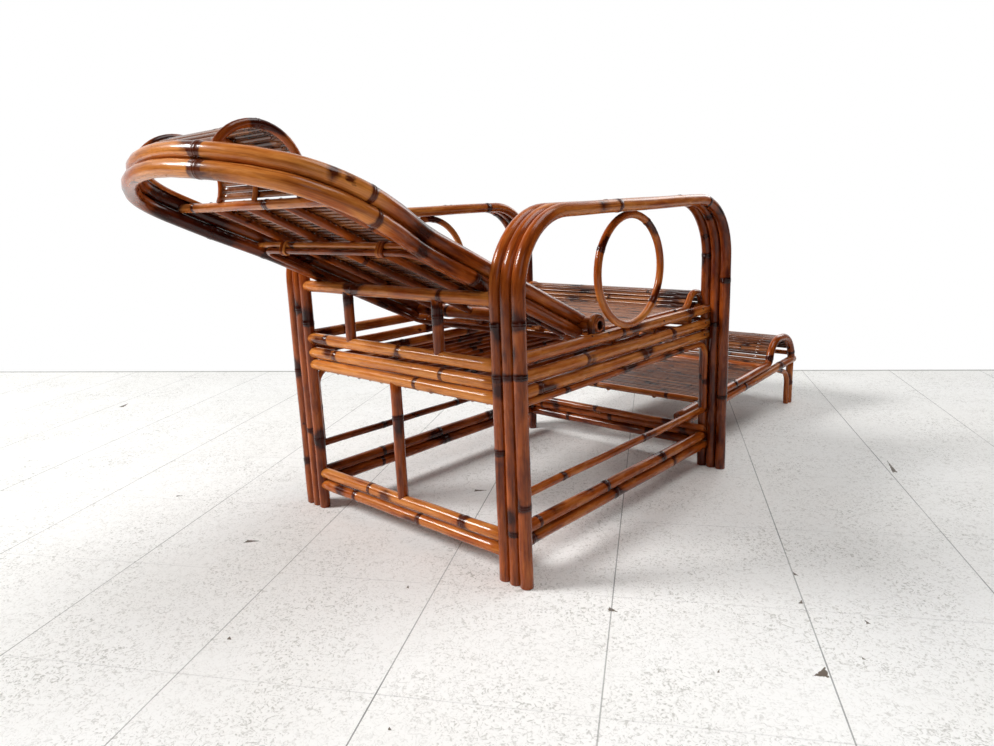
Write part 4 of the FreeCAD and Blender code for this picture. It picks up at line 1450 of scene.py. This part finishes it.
# %% Wind the bindings
binding_x = 140.0
binding_turns = 5
binding_strip, binding_thickness, binding_gap = 3.4, 2.3, 0.1
binding_step = binding_strip + binding_gap
binding_clearance = 0.3
binding_section = ((-0.5, 0.0), (-0.42, 0.8), (0.0, 1.0), (0.42, 0.8), (0.5, 0.0))
half_turn_steps = 8
strip_grain_step = 5.0
binding_singe = 0.25


def wind(stock, low, high, radius, beside, out):
    """Adds one turn of strip round two parallel bars, as a closed band with rounded edges."""
    up = (high - low).normalized()
    across = Vector((1, 0, 0))
    spots = []
    for centre, start in ((high, 0.0), (low, math.pi)):
        for step in range(half_turn_steps + 1):
            turn = start + math.pi * step / half_turn_steps
            spots.append((centre, out * math.cos(turn) + up * math.sin(turn)))
    tone = stock.chance.random()
    rings = []
    for index, (centre, outward) in enumerate(spots):
        points, grains = [], []
        for aside, rise in binding_section:
            at = outward * (radius + binding_thickness * rise) + across * (beside + binding_strip * aside)
            points.append(centre + at * MM)
            grains.append(Vector((aside * binding_strip, rise, index * strip_grain_step)) * MM)
        rings.append((points, grains, [binding_singe] * len(points), tone))
    stock.sweep(rings, closed=True)


bindings = Stock("prop_lashings_cane")
for x in (-binding_x, binding_x):
    low, high = back_place(x, prop_along, prop_above), back_place(x, prop_along, lower_above)
    for turn in range(binding_turns):
        beside = (turn - (binding_turns - 1) / 2) * binding_step
        wind(bindings, low, high, lower_bar / 2 + binding_clearance, beside, back_up)
stands_for(bindings, "prop_lashings")
print("two bindings of", binding_turns, "turns hold the prop")

# %% [markdown]
# The straps over the pivot
#
# A short length of split cane is bent over each end of the pivot bar and nailed to the top side
# rail. It is as broad as a thumb and rounded on the outside. Half a ring with two straight legs would
# do in pieces. It is one strip here, so that its grain and its singed feet run on round the bend.

# %% Bend the pivot straps
strap_clearance, strap_inset, strap_foot_rise = 1.6, 5.0, 7.0
strap_inner = pivot_bar / 2 + strap_clearance
strap_thickness = 6.5
strap_width = 16.0
strap_x = side_x - strap_inset
strap_foot = rail_heights["top"] + strap_foot_rise
strap_leg_steps, strap_bend_steps = 4, 16
strap_section = ((-0.5, 0.0), (-0.5, 0.45), (-0.36, 0.86), (0.0, 1.0), (0.36, 0.86), (0.5, 0.45), (0.5, 0.0))
strap_foot_singe, strap_bend_singe = 0.85, 0.5
strap_foot_steps = 3


def strap_spots():
    """The strap's line from foot to foot, as (forward, lift, z)."""
    rise = (pivot_z - strap_foot) / strap_leg_steps
    spots = [(-1.0, 0.0, strap_foot + rise * step) for step in range(strap_leg_steps)]
    for step in range(strap_bend_steps + 1):
        turn = math.pi * step / strap_bend_steps
        spots.append((-math.cos(turn), math.sin(turn), pivot_z))
    return spots + [(1.0, 0.0, pivot_z - rise * step) for step in range(1, strap_leg_steps + 1)]


def grow_strap(stock, sign):
    """Adds an inverted U of split cane over one end of the bar."""
    spots = strap_spots()
    tone = stock.chance.random()
    rings = []
    for index, (forward, lift, z) in enumerate(spots):
        points, grains = [], []
        for aside, rise in strap_section:
            out = strap_inner + strap_thickness * rise
            x = sign * (strap_x + strap_width * aside)
            points.append(place(x, pivot_y + forward * out, z + lift * out))
            grain = Vector((aside * strap_width, rise * strap_thickness, index * strip_grain_step))
            grains.append(grain * MM)
        at_foot = min(index, len(spots) - 1 - index) < strap_foot_steps
        singe = strap_foot_singe if at_foot else strap_bend_singe
        rings.append((points, grains, [singe] * len(points), tone))
    stock.sweep(rings)


for side, sign in sides:
    strap = Stock("pivot_strap_" + side + "_cane")
    grow_strap(strap, sign)
    stands_for(strap, "pivot_strap_" + side)
print("the straps clear the bar by", strap_clearance, "mm")

# %% [markdown]
# The footrest
#
# It slides out from under the seat on a bar that rides on the side stretchers. Each side is a
# straight lower rail with a bent pole on it that ends in a scroll, and it stands on two legs at the
# front, each with a curved brace. Its rails climb a little to the front, so heights are worked out
# from one slope. Building it level and tilting it would need the legs to be set upright again.

# %% Set out the footrest
foot_rail = 24.0
foot_x = 227.0
foot_pole = 22.0
foot_start_y = 697.0
foot_front_y = 1431.0
foot_leg_y = 1434.0
sliding_gap = 0.3
foot_rear_z = stretcher_height + stretcher / 2 + sliding_gap + foot_rail / 2
foot_front_z = 142.0
foot_slope = math.atan2(foot_front_z - foot_rear_z, foot_leg_y - post_spacing)
foot_step = foot_rail / 2 + nailed_gap + foot_pole / 2
foot_overlap = 4.0


def foot_rail_z(y):
    """The height of the lower rail's centre line."""
    return foot_rear_z + (y - post_spacing) * math.tan(foot_slope)


def foot_pole_z(y):
    """The height of the upper pole's centre line on its straight run."""
    return foot_rail_z(y) + foot_step / math.cos(foot_slope)


rise_y, rise_run, scroll_top = 1252.0, 26.0, 225.0
foot_corners = [(foot_start_y, foot_pole_z(foot_start_y)), (rise_y, foot_pole_z(rise_y)),
                (rise_y + rise_run, scroll_top), (foot_front_y, scroll_top),
                (foot_front_y, foot_rail_z(foot_front_y) - foot_overlap)]
foot_radii = [24.0, 64.0, 84.0]
runner = 16.0
runner_y = post_spacing - arm_pole / 2 - sliding_gap - runner / 2
runner_z = stretcher_height + stretcher / 2 + sliding_gap + runner / 2
print("the footrest's rails climb by", round(math.degrees(foot_slope), 1), "degrees")

# %% [markdown]
# The footrest's sides and legs
#
# The upper pole on each side lies on the lower rail, lifts off it and curls over the scroll down to
# the rail's end. The legs stand just inside, with a curved brace behind each. All of them could be
# mirrored from one side, but each is grown from the same routes, so that its joints are its own.

# %% Bend the footrest's sides, legs and braces
leg = 22.0
leg_inset = 4.0
brace = 16.0
brace_y = foot_leg_y - leg / 2 - nailed_gap - brace / 2
brace_start_y, brace_turn_z, brace_bend = 1300.0, 100.0, 45.0
brace_line = [(brace_start_y, foot_rail_z(brace_start_y)), (brace_y, brace_turn_z), (brace_y, 0)]
rail_front_y = foot_leg_y + leg / 2
leg_top = foot_rail_z(foot_leg_y) - foot_overlap
legs, braces = [], []
for side, sign in sides:
    x = sign * foot_x
    poles("footrest_side_pole_" + side, (route_through(side_plane(x), foot_corners, foot_radii), foot_pole))
    start, end = (x, runner_y, foot_rail_z(runner_y)), (x, rail_front_y, foot_rail_z(rail_front_y))
    poles("footrest_rail_" + side, (straight(start, end), foot_rail))
    leg_x = sign * (foot_x - leg_inset)
    legs.append((straight((leg_x, foot_leg_y, 0), (leg_x, foot_leg_y, leg_top)), leg))
    braces.append((route_through(side_plane(leg_x), brace_line, [brace_bend]), brace))
poles("footrest_legs", *legs)
poles("footrest_braces", *braces)
print("a leg is", round(leg_top), "mm high")

# %% [markdown]
# The footrest's floor
#
# Crossbars tie the two sides, two battens run under the slats, and the slats lie over the deck and
# round the scroll. They follow the side poles' outline as the seat's slats do, and stop on both sides
# of the stout bar at the foot of the rise. One strip of cloth would bend round the scroll by itself,
# but cane slats keep their gaps, through which the floor shows.

# %% Lay the bars, battens and slats of the footrest
deck_y, bar = 846.0, 14.0
base_bar, base_gap = 20.0, 24.0
base_y = rise_y - base_gap - base_bar / 2
front_bar_z = 162.0
bearer = 16.0
bearer_places = (905.0, 1190.0)
runner_half = 289.0
foot_batten_x = 75.0
foot_pitch = 11.4
batten_drop = slat_middle - slat_rise + nailed_gap + bar / 2
bearer_drop = batten_drop + bar / 2 + nailed_gap + bearer / 2
within = foot_x - leg_inset
bars = [(across_chair(runner_y, runner_z, runner_half), runner),
        (across_chair(deck_y, foot_pole_z(deck_y), within), bar),
        (across_chair(foot_front_y, front_bar_z, within - leg_inset), bar),
        (across_chair(base_y, foot_pole_z(base_y), within), base_bar)]
for y in bearer_places:
    bars.append((across_chair(y, foot_pole_z(y) - bearer_drop / math.cos(foot_slope), within), bearer))
poles("footrest_crossbars", *bars)
poles("footrest_battens", *[(straight((x, deck_y, foot_pole_z(deck_y) - batten_drop),
                                      (x, base_y, foot_pole_z(base_y) - batten_drop)), bar)
                            for x in (-foot_batten_x, foot_batten_x)])
foot_slats = Stock("footrest_slats_cane")
outline = route_through(side_plane(0), *raised(foot_corners, foot_radii, slat_rise))
half = foot_x - foot_pole / 2 - nailed_gap
clear = slat_width / 2 + nailed_gap
first = (deck_y + bar / 2 - foot_start_y) / math.cos(foot_slope) + clear
stop = (base_y - base_bar / 2 - foot_start_y) / math.cos(foot_slope) - clear
again = (base_y + base_bar / 2 - foot_start_y) / math.cos(foot_slope) + clear
last = outline.length - (front_bar_z + bar / 2 - foot_corners[-1][1]) - slat_width
count = slats_along(foot_slats, outline, first, foot_pitch, stop, half)
count += slats_along(foot_slats, outline, again, foot_pitch, last, half)
stands_for(foot_slats, "footrest_slats", slat_finish)
print(count, "slats on the footrest")

# %% [markdown]
# The floor
#
# The floor is laid with worn pale tiles. Modelling each tile would be heavy, and an image of a floor
# would repeat. One large sheet does instead. It ends at the wall's foot and keeps the chair's shadow,
# and its material draws the tiles.

# %% Lay the floor
floor_mesh = bpy.data.meshes.new("floor")
floor_side, floor_depth = 5.0, 9.0
ahead = Vector((-math.sin(camera_yaw), math.cos(camera_yaw), 0))
wall_left, wall_right = place(-2805.0, 27.0, 0), place(648.0, 2268.0, 0)
along_wall = (wall_right - wall_left).normalized()
from_wall = Vector((along_wall.y, -along_wall.x, 0))
far_left, far_right = wall_left - along_wall * floor_side, wall_right + along_wall * floor_side
corners = [far_left + from_wall * floor_depth, far_right + from_wall * floor_depth, far_right, far_left]
floor_mesh.from_pydata([c[:] for c in corners], [], [(0, 1, 2, 3)])
floor = bpy.data.objects.new("floor", floor_mesh)
bpy.context.scene.collection.objects.link(floor)
print("the floor is a sheet of", round((far_right - far_left).length, 1), "by", floor_depth, "m")

# %% [markdown]
# Worn tiles
#
# Feet have worn the pale tiles in small curling scuffs, more in some places than in others, and a few
# long fine lines run over everything. They could be painted on an image. Noises stay sharp close to
# the camera instead. The scuffs' noise is twisted by its own distortion, which makes it curl, and a
# line lies wherever a slow noise folds back to zero.

# %% Wear the tiles
tint_low, tint_high = (0.95, 0.94, 0.91), (0.99, 0.985, 0.965)
scuff_grey, line_grey = (0.4, 0.39, 0.36), (0.6, 0.59, 0.57)
scuff_curl = 2.0
line_noises = ((11.0, 5.0), (13.0, 0.2))
line_folds, line_fold, line_width, line_strength = 9.0, 0.5, 0.03, 0.5
floor_roughness = 0.7
worn_floor = bpy.data.materials.new("worn_floor")
worn_floor.use_nodes = True
tree = worn_floor.node_tree
shader = tree.nodes["Principled BSDF"]
where = tree.nodes.new("ShaderNodeTexCoord").outputs["Object"]
clouds = noise_at(tree, where, scale=1.6, detail=4.0)
tint = ramp(tree, clouds, (0.35, tint_low), (0.65, tint_high))
scuffs = noise_at(tree, where, scale=105.0, detail=8.0)
scuffs.node.inputs["Distortion"].default_value = scuff_curl
wear = ramp(tree, scuffs, (0.38, scuff_grey), (0.48, white))
worn = ramp(tree, noise_at(tree, where, scale=5.0), (0.35, grey(0.2)), (0.65, grey(0.7)))
colour = between(tree, worn, tint, wear, "MULTIPLY")
for scale, stretch in line_noises:
    folded = sums(tree, "MULTIPLY", noise_at(tree, where, scale, stretch, detail=4.0), line_folds)
    swirls = sums(tree, "PINGPONG", folded, line_fold)
    lines = ramp(tree, swirls, (0.0, line_grey), (line_width, white))
    colour = between(tree, line_strength, colour, lines, "MULTIPLY")
shader.inputs["Roughness"].default_value = floor_roughness
floor_mesh.materials.append(worn_floor)
print("the tiles are scuffed, with", len(line_noises), "sets of fine lines")

# %% [markdown]
# Chipped corners
#
# Here and there a tile has lost a corner or a bit of its edge, and shows brown. Cutting the mesh would
# need every tile modelled. A chip is a small triangle with its legs along the seams, so it can be a
# mask: how far a point lies along each leg, as a share of it, and what the two shares leave of one. A
# fine noise breaks its edge.

# %% Chip the tiles
tile = 0.307
tile_turn = math.radians(120.2)
seam_y = 0.119
chips = (((680, 939), (150, 20)), ((813, 65), (42, 36)), ((473, 18), (24, -26)), ((662, 318), (22, -12)),
         ((712, 235), (22, 14)), ((805, 234), (20, -12)), ((828, 136), (14, -8)), ((688, -18), (16, 7)),
         ((-263, -206), (-26, -50)), ((52, -420), (16, -14)), ((412, -392), (11, -10)),
         ((-625, -180), (-16, -26)), ((156, -137), (22, -9)), ((-1643, 71), (90, -34)),
         ((-77, 275), (-20, -60)))
chip_brown = (0.13, 0.1, 0.075)
chip_raggedness = 0.3
turned = tree.nodes.new("ShaderNodeMapping")
first_seam = Vector((0, seam_y - rear_feet_y * MM * math.cos(tile_turn), 0))
turned.inputs["Rotation"].default_value[2] = -tile_turn
turned.inputs["Location"].default_value = first_seam
wire(tree, where, turned.inputs["Vector"])
split = tree.nodes.new("ShaderNodeSeparateXYZ")
wire(tree, turned.outputs["Vector"], split.inputs["Vector"])
ragged = sums(tree, "MULTIPLY", noise_at(tree, where, scale=130.0), chip_raggedness)
for spot, sizes in chips:
    corner = Matrix.Rotation(-tile_turn, 3, "Z") @ place(*spot, 0) + first_seam
    shares = [sums(tree, "DIVIDE", sums(tree, "SUBTRACT", split.outputs[axis], at), size * MM)
              for axis, at, size in zip("XY", corner, sizes)]
    rest = sums(tree, "SUBTRACT", 1.0, sums(tree, "ADD", *shares))
    inside = sums(tree, "MINIMUM", sums(tree, "MINIMUM", *shares), rest)
    colour = between(tree, sums(tree, "GREATER_THAN", inside, ragged), colour, chip_brown)
print(len(chips), "chips in tiles of", round(tile / MM), "mm")

# %% [markdown]
# Seams
#
# Dark seams part the tiles, deep in one direction and faint in the other, and uneven along their way.
# Blender's brick texture draws such seams, but with one depth for both directions. Here the distance
# across folds back to zero at every tile, and where it is under half a seam's width, there is a seam. A
# last band drawn the same way is painted shade where the floor meets the wall's foot.

# %% Draw the seams
seam_width = 0.0022
seam_depths = (("Y", 0.9), ("X", 0.25))
seam_grey = (0.16, 0.155, 0.15)
seam_unevenness = 1.4
wall_shade_width, wall_shade_strength = 0.02, 0.6
painted_wall_shade = (0.2, 0.2, 0.19)
uneven = sums(tree, "MULTIPLY", noise_at(tree, where, scale=3.0), seam_unevenness)
for axis, depth in seam_depths:
    apart = sums(tree, "PINGPONG", split.outputs[axis], tile / 2)
    on_seam = sums(tree, "LESS_THAN", apart, seam_width / 2)
    seam = sums(tree, "MULTIPLY", on_seam, sums(tree, "MULTIPLY", uneven, depth))
    colour = between(tree, seam, colour, seam_grey)
# The band at the wall's foot is painted shade, darkening the floor where it meets the wall.
to_wall = measured(tree, "DOT_PRODUCT", where, from_wall)
foot = sums(tree, "LESS_THAN", to_wall, wall_left.dot(from_wall) + wall_shade_width)
colour = between(tree, sums(tree, "MULTIPLY", foot, wall_shade_strength), colour, painted_wall_shade)
wire(tree, colour, shader.inputs["Base Color"])
print("seams of", seam_width / MM, "mm, and", len(tree.nodes), "nodes in the floor's finish")

# %% [markdown]
# The white room
#
# The wall behind the chair is white, and the world stands in for it. A real wall would need light of
# its own to look white. So the world is plain white to the camera, and the varnish sees a room that is
# white towards the wall and dim behind the camera, which gives the poles their bright and dark edges.
# To everything else the world is only a weak glow.

# %% Make the room white
glow = 0.07
wall_white, room_dim = grey(0.97), (0.03, 0.025, 0.02)
dim_until, white_from = 0.35, 0.78
world = bpy.data.worlds.new("studio")
bpy.context.scene.world = world
world.use_nodes = True
tree = world.node_tree
background = tree.nodes["Background"]
ray = tree.nodes.new("ShaderNodeLightPath")
room_light = tree.nodes.new("ShaderNodeBackground")
background.inputs["Color"].default_value = (*white, 1.0)
background.inputs["Strength"].default_value = glow
choose = tree.nodes.new("ShaderNodeMixShader")
seen = sums(tree, "MAXIMUM", ray.outputs["Is Camera Ray"], ray.outputs["Is Glossy Ray"])
wire(tree, seen, choose.inputs["Fac"])
facing = measured(tree, "DOT_PRODUCT", tree.nodes.new("ShaderNodeTexCoord").outputs["Generated"], ahead)
room = ramp(tree, facing, (dim_until, room_dim), (white_from, wall_white))
wire(tree, between(tree, ray.outputs["Is Camera Ray"], room, white), room_light.inputs["Color"])
wire(tree, background.outputs["Background"], choose.inputs[1])
wire(tree, room_light.outputs["Background"], choose.inputs[2])
wire(tree, choose.outputs["Shader"], tree.nodes["World Output"].inputs["Surface"])
print("the room is white ahead of the camera")

# %% [markdown]
# The lamps
#
# A large soft lamp on the left, behind the camera, is the window that gives the shadow its side. Three
# weaker ones fill in: from the room on the right, from the ceiling and from ahead of the chair. One
# small hard lamp would give the same brightness with a hard shadow, and the photographed one is soft.

# %% Light the chair


def soft_lamp(name, spot, aim, size, power):
    """A square lamp that faces a point, both in metres."""
    lamp = bpy.data.lights.new(name, "AREA")
    lamp.size = size
    lamp.energy = power
    made = bpy.data.objects.new(name, lamp)
    bpy.context.scene.collection.objects.link(made)
    made.location = spot
    made.rotation_euler = (Vector(aim) - Vector(spot)).to_track_quat("-Z", "Y").to_euler()


soft_lamp("window_light", spot=(-3.9, -4.2, 4.0), aim=(0.1, -0.2, 0.4), size=2.0, power=445.0)
soft_lamp("room_light", spot=(2.9, -2.6, 2.0), aim=(0, 0, 0.4), size=1.6, power=9.0)
soft_lamp("ceiling_light", spot=(0.9, 0.3, 3.7), aim=(0.3, 0.1, 0.3), size=2.2, power=62.0)
soft_lamp("front_light", spot=(0.0, 4.6, 2.8), aim=(0, 0.3, 0.4), size=2.0, power=45.0)
bpy.context.scene.view_settings.view_transform = "Standard"
print(len(bpy.data.lights), "soft lamps")
